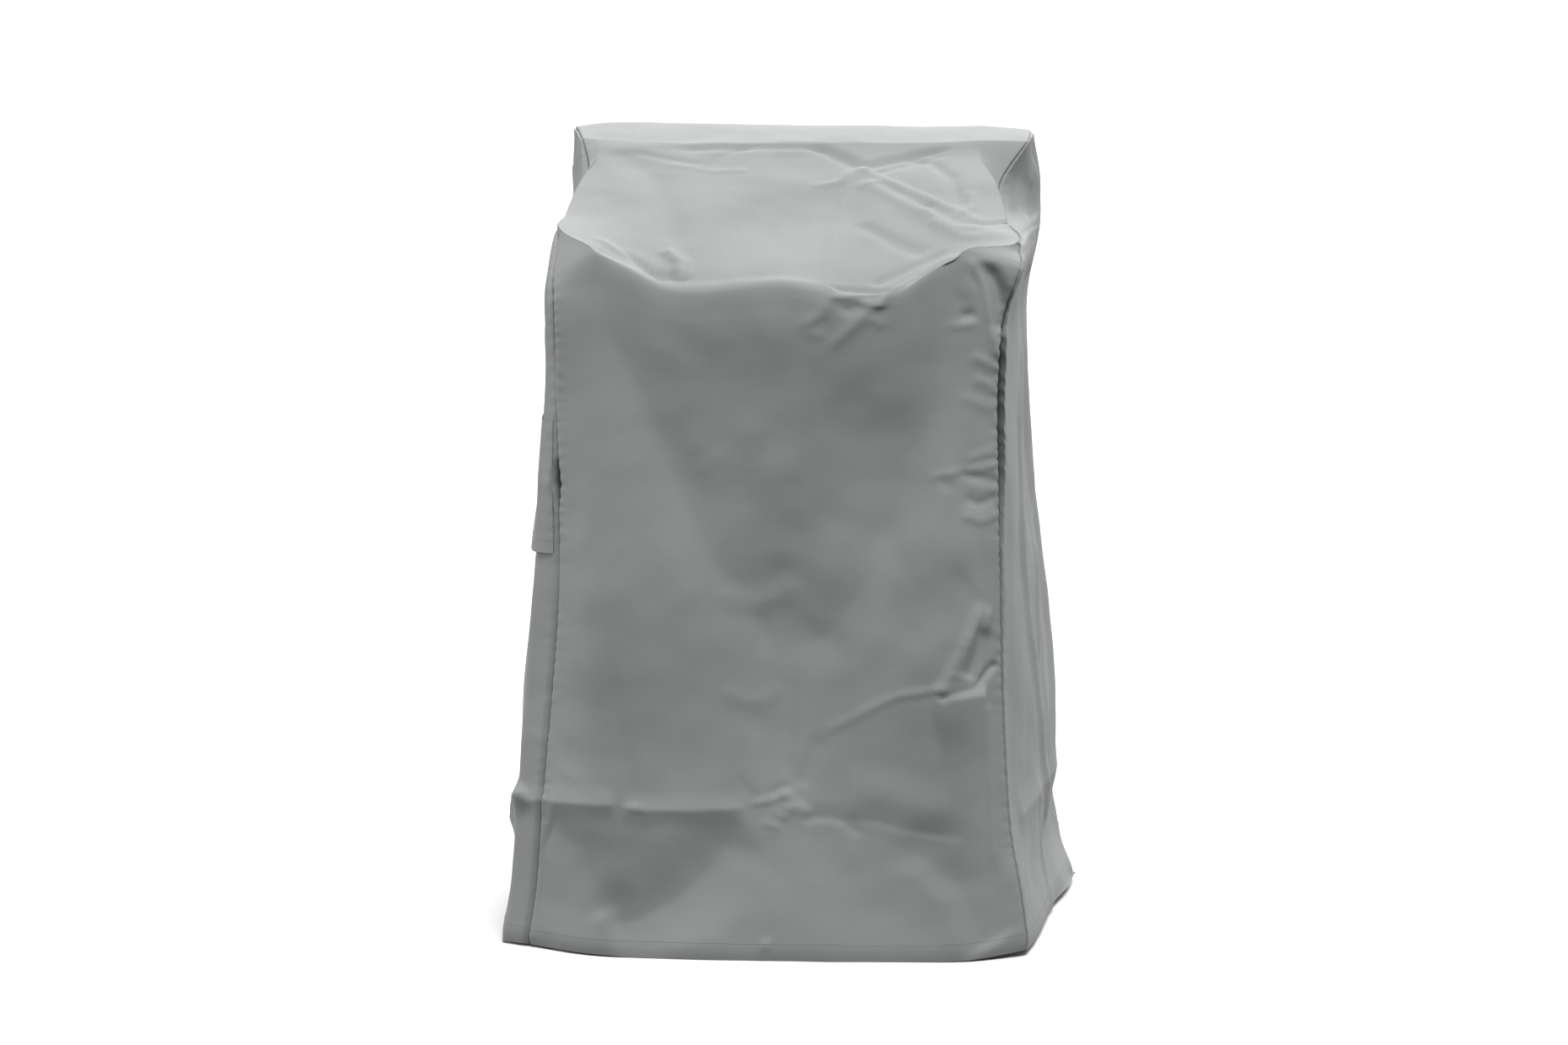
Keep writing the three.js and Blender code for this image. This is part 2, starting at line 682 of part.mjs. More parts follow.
// How two sewn panels meet along a seam: the way in to their shared inner edge, and the way
// across the joint from the side panel to the strip. The flat facets of the two mitred edges
// bulge towards each other where the way in turns, so the joint is wider there.
function seamFrames(side, sideNormals) {
  const joints = stripOuter.map((_, row) => {
    const stripNormal = stripNormals[row][seamColumn(side)];
    let sideNormal;
    if (row <= topFrontRow) sideNormal = sideNormals[row][0];
    else if (row < topBackRow) {
      const column = ((row - topFrontRow) * sideColumns) / topRows;
      sideNormal = sideNormals[sideRows][column];
    } else sideNormal = sideNormals[sideRows - (row - topBackRow) * sideRowsPerBackRow][sideColumns];
    const agreement = Math.max(dot(stripNormal, sideNormal), sharpestSeam);
    const inward = scale(add(stripNormal, sideNormal), -clothThickness / (1 + agreement));
    const before = stripOuter[Math.max(row - 1, 0)][seamColumn(side)];
    const after = stripOuter[Math.min(row + 1, stripOuter.length - 1)][seamColumn(side)];
    const tangent = unit(subtract(after, before));
    const flatInward = subtract(inward, scale(tangent, dot(inward, tangent)));
    const aside = unit(cross(tangent, flatInward));
    return { inward, aside: side === "left" ? scale(aside, -1) : aside };
  });
  return joints.map(({ inward, aside }, row) => {
    const turnTo = (joint) => Math.abs(dot(subtract(joint.inward, inward), aside));
    const turn = Math.max(
      turnTo(joints[Math.max(row - 1, 0)]), turnTo(joints[Math.min(row + 1, joints.length - 1)]));
    return [...inward, ...scale(aside, (seamClearance + turn / 2) / 2)];
  });
}

function frameAt(frames, row) {
  const below = Math.min(Math.floor(row), frames.length - 2);
  const frame = mix(frames[below], frames[below + 1], row - below);
  return { inward: frame.slice(0, 3), aside: frame.slice(3) };
}

// Cloth, a woven polyester with a matt coating
const clothMaterial = () =>
  new THREE.MeshStandardMaterial({ color: 0x8c8e8e, roughness: 0.72, metalness: 0 });

const sides = {};
for (const side of ["left", "right"]) {
  const grid = sideGrid(side);
  const normals = facingOut(side, gridNormals(facingOut(side, grid)));
  sides[side] = { grid, normals, frames: seamFrames(side, normals) };
}

// The strip, with its seam edges set back by half the clearance and mitred
function buildStrip() {
  const outer = stripOuter.map((row) => [...row]);
  const inner = stripOuter.map((row, i) =>
    row.map((point, j) => subtract(point, scale(stripNormals[i][j], clothThickness))));
  for (const side of ["left", "right"]) {
    const column = seamColumn(side);
    for (let i = 0; i < outer.length; i += 1) {
      const { inward, aside } = frameAt(sides[side].frames, i);
      outer[i][column] = add(stripOuter[i][column], aside);
      inner[i][column] = add(outer[i][column], inward);
    }
  }
  return closedSheet("main_panel", outer, inner, clothMaterial());
}

// A side panel, with its seam edges set back and mitred to match the strip's
function buildSide(side) {
  const { grid, normals, frames } = sides[side];
  const outer = grid.map((row) => [...row]);
  const inner = grid.map((row, i) =>
    row.map((point, j) => subtract(point, scale(normals[i][j], clothThickness))));
  const sew = (i, j, stripRowNumber) => {
    const { inward, aside } = frameAt(frames, stripRowNumber);
    outer[i][j] = subtract(grid[i][j], aside);
    inner[i][j] = add(outer[i][j], inward);
  };
  for (let i = 0; i <= sideRows; i += 1) {
    sew(i, 0, i);
    sew(i, sideColumns, backSeamRow(i));
  }
  for (let j = 0; j <= sideColumns; j += 1) {
    sew(sideRows, j, topFrontRow + (topRows * j) / sideColumns);
  }
  return closedSheet(
    `${side}_side_panel`, facingOut(side, outer), facingOut(side, inner), clothMaterial());
}

// The vent flap lies on the facets of the left side panel, sewn at its top and its two ends,
// and stands off towards its open lower edge
function buildFlap() {
  const { grid, normals } = sides.left;
  const firstRow = rowOfSection[sectionIndex(flap.bottomSection)] + flap.bottomRowsAbove;
  const lastRow = rowOfSection[sectionIndex(flap.topSection)] + flap.topRowsAbove;
  const rowSteps = (lastRow - firstRow) * flap.facetSplit;
  const columnSteps = (flap.lastColumn - flap.firstColumn) * flap.facetSplit;
  const onFacet = (field, row, column) => {
    const i = Math.min(Math.floor(row), field.length - 2);
    const j = Math.min(Math.floor(column), field[0].length - 2);
    const rowShare = row - i;
    const columnShare = column - j;
    const corner = (di, dj) => field[i + di][j + dj];
    if (rowShare + columnShare <= 1) {
      const alongRow = scale(subtract(corner(0, 1), corner(0, 0)), columnShare);
      const upColumn = scale(subtract(corner(1, 0), corner(0, 0)), rowShare);
      return add(corner(0, 0), add(alongRow, upColumn));
    }
    const backRow = scale(subtract(corner(1, 0), corner(1, 1)), 1 - columnShare);
    const downColumn = scale(subtract(corner(0, 1), corner(1, 1)), 1 - rowShare);
    return add(corner(1, 1), add(backRow, downColumn));
  };
  const outer = [];
  const inner = [];
  for (let a = 0; a <= rowSteps; a += 1) {
    outer.push([]);
    inner.push([]);
    for (let b = 0; b <= columnSteps; b += 1) {
      const row = firstRow + a / flap.facetSplit;
      const column = flap.firstColumn + b / flap.facetSplit;
      const drop = 1 - a / rowSteps;
      const fullness = Math.sin((Math.PI * b) / columnSteps) ** 0.7;
      const standOff = flap.clearance + flap.lift * fullness * drop ** 1.2;
      const place = onFacet(grid, row, column);
      const outward = unit(onFacet(normals, row, column));
      inner[a].push(add(place, scale(outward, standOff)));
      outer[a].push(add(place, scale(outward, standOff + clothThickness)));
    }
  }
  return closedSheet("vent_flap", facingOut("left", outer), facingOut("left", inner), clothMaterial());
}

const cover = new THREE.Group();
cover.name = "patio_chair_cover";
cover.add(buildStrip(), buildSide("left"), buildSide("right"), buildFlap());

export default cover;
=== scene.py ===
"""A fitted patio chair cover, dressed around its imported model.

The cloth is drawn again on the model's own guide lines with much smaller cells, and gets the
creases, puckered seams, hems and stitches that the model leaves out. Sizes in the tables are in
millimetres, and every object is in metres.
"""

import functools
import math
import random
from typing import NamedTuple

import bpy
import numpy as np
from bpy.props import FloatProperty, FloatVectorProperty, IntProperty, PointerProperty
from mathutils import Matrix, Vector, noise


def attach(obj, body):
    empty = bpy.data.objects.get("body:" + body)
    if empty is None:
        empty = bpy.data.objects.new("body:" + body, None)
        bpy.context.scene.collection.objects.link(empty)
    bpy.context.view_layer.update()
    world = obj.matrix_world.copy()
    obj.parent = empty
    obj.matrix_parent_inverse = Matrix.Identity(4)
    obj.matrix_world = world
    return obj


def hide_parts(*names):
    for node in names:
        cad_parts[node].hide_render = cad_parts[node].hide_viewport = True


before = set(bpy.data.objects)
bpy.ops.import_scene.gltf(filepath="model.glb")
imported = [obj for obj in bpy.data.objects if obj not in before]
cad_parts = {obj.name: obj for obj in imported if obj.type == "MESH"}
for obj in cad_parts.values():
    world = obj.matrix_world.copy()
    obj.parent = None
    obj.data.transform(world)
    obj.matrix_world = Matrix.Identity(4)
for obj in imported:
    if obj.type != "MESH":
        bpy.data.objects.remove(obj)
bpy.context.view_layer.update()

bl_info = {
    "name": "Patio Chair Cover",
    "version": (1, 0, 0),
    "blender": (4, 5, 0),
    "location": "View3D > Sidebar > Chair Cover",
    "description": "Models a fitted patio chair cover and its studio",
    "category": "Add Mesh",
}

MM = 0.001
CLOTH_MAP = "cloth"
CREASE_LAYER = "crease"
# A side panel's columns run from the front to the back, so the left one's faces have to be turned
FACING = {"left": -1, "right": 1}


# The strip of cloth that makes the front, the slope, the top and the back


class Section(NamedTuple):
    """A place along the strip, with its seven guide points from the left seam to the right seam."""

    name: str
    across: tuple
    depth: tuple
    height: tuple
    ridge_bend: float = 0.0
    edge_bend: float = 0.0


SECTIONS = (
    Section(
        "front hem",
        across=(-341, -245, -130, 5, 150, 258, 334),
        depth=(-262, -318, -332, -335, -333, -323, -281),
        height=(4, 3, 1.5, 1, 1, 3, 9),
    ),
    Section(
        "above the hem",
        across=(-330, -245, -130, 5, 145, 255, 324),
        depth=(-262, -311, -318, -320, -318, -313, -279),
        height=(72, 70, 70, 70, 70, 72, 80),
    ),
    Section(
        "low packing crease",
        across=(-320, -245, -125, 5, 140, 255, 308),
        depth=(-266, -307, -305, -298, -304, -307, -271),
        height=(190, 185, 178, 172, 164, 162, 170),
    ),
    Section(
        "shin",
        across=(-309, -248, -120, 5, 135, 252, 299),
        depth=(-264, -302, -291, -269, -291, -303, -265),
        height=(310, 310, 310, 310, 310, 310, 310),
    ),
    Section(
        "knee",
        across=(-296, -250, -115, 5, 130, 250, 295),
        depth=(-260, -294, -278, -250, -275, -296, -260),
        height=(486, 486, 480, 477, 475, 472, 462),
    ),
    Section(
        "seat",
        across=(-297, -252, -120, 5, 130, 250, 294),
        depth=(-254, -275, -253, -248, -250, -275, -254),
        height=(630, 630, 630, 630, 630, 630, 630),
    ),
    Section(
        "under the arms",
        across=(-300, -253, -140, 5, 135, 250, 294),
        depth=(-247, -256, -246, -245, -246, -255, -246),
        height=(775, 775, 765, 760, 765, 775, 775),
        ridge_bend=0.2,
    ),
    Section(
        "arm height",
        across=(-305, -255, -150, 5, 135, 252, 303),
        depth=(-240, -246, -244, -244, -243, -245, -238),
        height=(870, 880, 846, 850, 850, 880, 868),
        ridge_bend=0.6,
        edge_bend=0.3,
    ),
    Section(
        "front edge",
        across=(-307, -248, -155, 5, 133, 238, 319),
        depth=(-224, -235, -237, -236, -240, -236, -232),
        height=(896, 935, 884, 889, 872, 935, 912),
        ridge_bend=0.8,
        edge_bend=0.25,
    ),
    Section(
        "past the edge",
        across=(-305, -290, -160, 5, 132, 300, 316),
        depth=(-174, -182, -208, -209, -214, -196, -190),
        height=(936, 952, 898, 901, 887, 941, 930),
        ridge_bend=0.8,
    ),
    Section(
        "low slope",
        across=(-310, -303, -150, 5, 150, 292, 304),
        depth=(-80, -62, -60, -60, -60, -62, -80),
        height=(946, 972, 965, 963, 964, 969, 946),
        ridge_bend=0.9,
    ),
    Section(
        "high slope",
        across=(-292, -290, -145, 5, 140, 272, 282),
        depth=(50, 68, 64, 62, 62, 58, 60),
        height=(985, 1020, 1017, 1016, 1016, 1016, 975),
        ridge_bend=0.9,
    ),
    Section(
        "under the top edge",
        across=(-290, -279, -140, 5, 135, 250, 286),
        depth=(105, 128, 124, 122, 124, 128, 112),
        height=(1030, 1047, 1041, 1040, 1040, 1044, 1012),
        ridge_bend=0.9,
    ),
    Section(
        "top front edge",
        across=(-305, -277, -140, 5, 130, 248, 322),
        depth=(150, 160, 160, 158, 158, 160, 158),
        height=(1064, 1060, 1058, 1057, 1058, 1061, 1060),
        ridge_bend=0.6,
        edge_bend=0.8,
    ),
    Section(
        "top back edge",
        across=(-329, -290, -140, 5, 140, 270, 324),
        depth=(276, 288, 292, 292, 292, 288, 276),
        height=(1074, 1079, 1078, 1077, 1076, 1076, 1072),
        edge_bend=0.75,
    ),
    Section(
        "back shoulder",
        across=(-325, -290, -140, 5, 140, 275, 318),
        depth=(298, 306, 306, 306, 306, 306, 298),
        height=(1025, 1025, 1025, 1025, 1025, 1025, 1022),
    ),
    Section(
        "back of the seat",
        across=(-318, -270, -140, 5, 140, 270, 312),
        depth=(308, 322, 328, 330, 328, 322, 308),
        height=(640, 640, 640, 640, 640, 640, 640),
    ),
    Section(
        "back of the shins",
        across=(-330, -270, -140, 5, 140, 270, 330),
        depth=(312, 330, 335, 336, 335, 330, 312),
        height=(300, 300, 300, 300, 300, 300, 300),
    ),
    Section(
        "back hem",
        across=(-345, -275, -140, 5, 140, 292, 375),
        depth=(316, 338, 343, 344, 343, 336, 318),
        height=(9, 5, 2, 1, 2, 7, 15),
    ),
)
SECTION_NAMES = [section.name for section in SECTIONS]
TOP_FRONT = SECTION_NAMES.index("top front edge")
TOP_BACK = SECTION_NAMES.index("top back edge")
MIDDLE_GUIDE = 3

# Rows of cells along the strip: the wanted row height from a station to the next one in the list
ROW_PLAN = (
    {"start": 0, "row": 5.5},
    {"start": 150, "row": 3.3},
    {"start": 232, "row": 5.5},
    {"start": 330, "row": 4.0},
    {"start": 450, "row": 5.5},
    {"start": 560, "row": 4.2},
    {"start": 820, "row": 4.0},
    {"start": 1010, "row": 4.4},
    {"start": 1180, "row": 4.0},
    {"start": 1360, "row": 7.5},
    {"start": 1540, "row": 20.0},
)
# Columns between neighbouring guides, closer together towards the two seams
COLUMN_PLAN = (
    {"columns": 18, "crowd_start": 1.5, "crowd_end": 1.0},
    {"columns": 19, "crowd_start": 1.0, "crowd_end": 1.0},
    {"columns": 25, "crowd_start": 1.0, "crowd_end": 1.0},
    {"columns": 24, "crowd_start": 1.0, "crowd_end": 1.0},
    {"columns": 20, "crowd_start": 1.0, "crowd_end": 1.0},
    {"columns": 18, "crowd_start": 1.0, "crowd_end": 1.5},
)

# Upright lines on the side panels, by their share of the way from the front seam to the back seam,
# and how crisp the cloth's corner is at each
SIDE_LINES = {"left": (0, 0.04, 0.5, 0.88, 1), "right": (0, 0.12, 0.5, 0.88, 1)}
SIDE_BENDS = {"left": (0, 0.9, 0, 0.3, 0), "right": (0, 0.5, 0, 0.3, 0)}
# Columns of cells on a side panel, and how closely they crowd towards its two seams
SIDE_COLUMNS = 84
SIDE_CROWDING = 0.55
# How far out the three inner lines of each side panel stand, beside the strip's front sections
SIDE_SPREAD = (
    {"section": "front hem", "left": (-379, -378, -364), "right": (345, 363, 388)},
    {"section": "above the hem", "left": (-365, -367, -354), "right": (333, 346, 358)},
    {"section": "low packing crease", "left": (-355, -360, -350), "right": (321, 346, 359)},
    {"section": "shin", "left": (-346, -353, -346), "right": (314, 343, 356)},
    {"section": "knee", "left": (-331, -342, -339), "right": (310, 332, 342)},
    {"section": "seat", "left": (-319, -335, -336), "right": (305, 316, 324)},
    {"section": "under the arms", "left": (-315, -331, -334), "right": (303, 312, 318)},
    {"section": "arm height", "left": (-315, -333, -336), "right": (309, 314, 318)},
    {"section": "front edge", "left": (-314, -328, -335), "right": (321, 323, 326)},
    {"section": "past the edge", "left": (-313, -325, -334), "right": (320, 324, 329)},
    {"section": "low slope", "left": (-310, -325, -333), "right": (310, 323, 331)},
    {"section": "high slope", "left": (-299, -314, -328), "right": (294, 318, 333)},
    {"section": "under the top edge", "left": (-299, -313, -328), "right": (297, 319, 332)},
    {"section": "top front edge", "left": (-308, -318, -326), "right": (322, 323, 325)},
)


class Fold(NamedTuple):
    """A fold along a path on the flat cloth: how far it rises, and how wide it is on both sides.

    A crest of 0 is soft and 1 is a pinched crease. It fades over the given lengths at its ends.
    A lean of 1 puts all its width on the left of the path, and -1 on the right.
    """

    rise: float
    width: float
    path: tuple
    crest: float = 0.3
    fade: tuple = (20, 20)
    lean: float = 0.0


# Folds on the strip, by [across, along] places measured from its middle line and its front hem
STRIP_FOLDS = {
    "left edge of the dish": Fold(
        -4.5,
        60,
        ((-262, 950), (-255, 881), (-238, 838), (-192, 750), (-154, 659), (-100, 532), (-30, 420)),
        0.4,
        (20, 70),
    ),
    "right edge of the dish": Fold(
        -6,
        60,
        (
            (246, 943), (240, 885), (216, 840), (197, 727), (156, 611), (116, 504), (60, 424),
            (0, 398),
        ),
        0.4,
        (20, 60),
    ),
    "right half of the dish": Fold(-5.5, 120, ((124, 800), (112, 640), (80, 500)), 0, (120, 80)),
    "tip of the dish": Fold(-1.5, 90, ((-40, 450), (0, 420), (40, 450)), 0, (50, 50)),
    "upright packing crease": Fold(
        -1.8,
        22,
        (
            (55, 880), (52, 820), (48, 785), (36, 690), (33, 568), (25, 478), (14, 387), (6, 290),
            (4, 235),
        ),
        0.9,
        (30, 20),
    ),
    "billow left of the crease": Fold(2.5, 60, ((0, 690), (-6, 560), (-4, 500)), 0, (60, 40)),
    "upper swag": Fold(
        2, 26, ((-92, 484), (-64, 470), (-30, 466), (0, 478), (22, 500)), 0.3, (24, 24)
    ),
    "hollow under the upper swag": Fold(-3, 44, ((-46, 428), (-6, 428)), 0, (26, 26)),
    "lower swag": Fold(1.3, 20, ((-84, 356), (-56, 338), (-30, 336), (2, 358)), 0.5, (14, 14)),
    "hollow under the lower swag": Fold(-1.4, 34, ((-50, 306), (-22, 306)), 0, (16, 16)),
    "small swag in the dish": Fold(
        1.6, 36, ((-130, 628), (-100, 650), (-60, 686)), 0.1, (40, 40), -0.4
    ),
    "left flank crease": Fold(
        -1.8, 22, ((-268, 560), (-251, 425), (-220, 302), (-196, 196)), 0.7, (50, 6)
    ),
    "left seam slant": Fold(
        0.8, 22, ((-335, 290), (-306, 243), (-265, 219), (-218, 199)), 0.6, (2, 6)
    ),
    "low packing crease, far left": Fold(
        4, 30, ((-350, 184), (-265, 194), (-218, 197)), 0.8, (4, 10)
    ),
    "low packing crease, left": Fold(
        4, 28, ((-214, 196), (-187, 191), (-114, 194), (-44, 199)), 0.8, (10, 16)
    ),
    "swell over the low crease": Fold(4, 80, ((-330, 190), (-206, 194), (-60, 190)), 0.2, (20, 40)),
    "low packing crease, right": Fold(
        3.5, 50, ((77, 228), (126, 226), (176, 216), (242, 210)), 0.1, (20, 40), -0.1
    ),
    "valley over the hem, left": Fold(
        -9,
        76,
        ((-50, 186), (-64, 166), (-90, 120), (-135, 83), (-187, 52), (-240, 42)),
        0.45,
        (50, 30),
    ),
    "valley up from the left hem": Fold(
        -4, 40, ((-236, 48), (-256, 92), (-272, 134), (-326, 158)), 0.4, (20, 10)
    ),
    "valley over the hem, right": Fold(
        -5, 60, ((130, 170), (200, 146), (244, 96), (275, 10)), 0.2, (60, 10), 0.3
    ),
    "swag at the right flank": Fold(
        -2.4, 54, ((128, 470), (174, 455), (223, 473), (262, 512)), 0, (30, 20)
    ),
    "patch over the right swag": Fold(2.4, 56, ((157, 520), (206, 545), (265, 557)), 0, (30, 20)),
    "edge by the pinch": Fold(
        6, 20, ((276, 486), (250, 424), (229, 380), (212, 354)), 0.6, (24, 6), 0.4
    ),
    "facet by the pinch": Fold(-6, 26, ((284, 452), (270, 410), (252, 374)), 0.2, (20, 6)),
    "strip by the seam": Fold(
        3.5, 12, ((288, 480), (278, 425), (271, 386), (263, 368)), 0.6, (14, 6)
    ),
    "pinch at the right seam": Fold(
        -5, 12, ((304, 400), (278, 377), (266, 361), (233, 354), (208, 347)), 0.8, (10, 12), -0.3
    ),
    "slant under the pinch": Fold(
        2, 10, ((214, 360), (187, 354), (158, 349), (117, 330), (80, 310), (55, 300)), 0.7, (12, 12)
    ),
    "valley down from the slant": Fold(-2.4, 20, ((51, 294), (38, 264), (24, 228)), 0.6, (10, 10)),
    "drape under the pinch": Fold(7.5, 60, ((200, 346), (247, 350), (284, 350)), 0, (16, 10), -0.6),
    "ridge to the right arm": Fold(
        5, 18, ((122, 878), (143, 912), (167, 937), (202, 967), (234, 978)), 0.8, (8, 14)
    ),
    "crease over the arm's ridge": Fold(
        -4, 14, ((112, 950), (136, 967), (172, 984), (217, 1000)), 0.8, (14, 20)
    ),
    "hollow under the slope": Fold(-3.5, 16, ((56, 922), (106, 931), (150, 929)), 0.4, (14, 14)),
    "hollow beside the right arm": Fold(
        -11, 26, ((285, 900), (290, 872), (293, 845), (292, 818)), 0.3, (14, 16)
    ),
    "upright fold under the arm": Fold(
        5, 16, ((262, 900), (273, 872), (275, 840), (279, 812), (286, 780)), 0.6, (10, 24)
    ),
    "face of the right arm": Fold(3, 24, ((272, 934), (250, 888), (238, 856)), 0.3, (10, 14)),
    "pocket by the left arm": Fold(-5, 18, ((-172, 958), (-128, 948)), 0.5, (8, 8)),
    "valley under the top, left arm": Fold(-7, 24, ((8, 1332), (86, 1242)), 0.6, (30, 12)),
    "valley under the top, right arm": Fold(-6, 22, ((86, 1242), (214, 1312)), 0.6, (12, 40)),
    "slanting crease on the slope": Fold(
        5, 30, ((88, 1200), (170, 1100), (207, 1062), (318, 984)), 0.7, (20, 50)
    ),
    "sag of the slope": Fold(-7, 130, ((-100, 1110), (20, 1080), (120, 1120)), 0, (60, 60)),
    "slanting valley on the slope": Fold(
        -4, 44, ((-252, 1288), (-199, 1196), (-170, 1076), (-159, 1010)), 0.4, (20, 30)
    ),
    "back packing crease": Fold(
        4, 30, ((5, 1560), (-4, 1900), (6, 2300), (0, 2480)), 0.8, (60, 60)
    ),
    "low packing crease, back": Fold(
        6, 50, ((-300, 2352), (-90, 2340), (120, 2348), (300, 2338)), 0.7, (40, 40)
    ),
    "drape of the back, left": Fold(
        -8, 70, ((-250, 1560), (-170, 1850), (-190, 2250)), 0, (120, 160)
    ),
    "drape of the back, right": Fold(
        -8, 80, ((250, 1580), (150, 1900), (180, 2260)), 0, (120, 160)
    ),
}

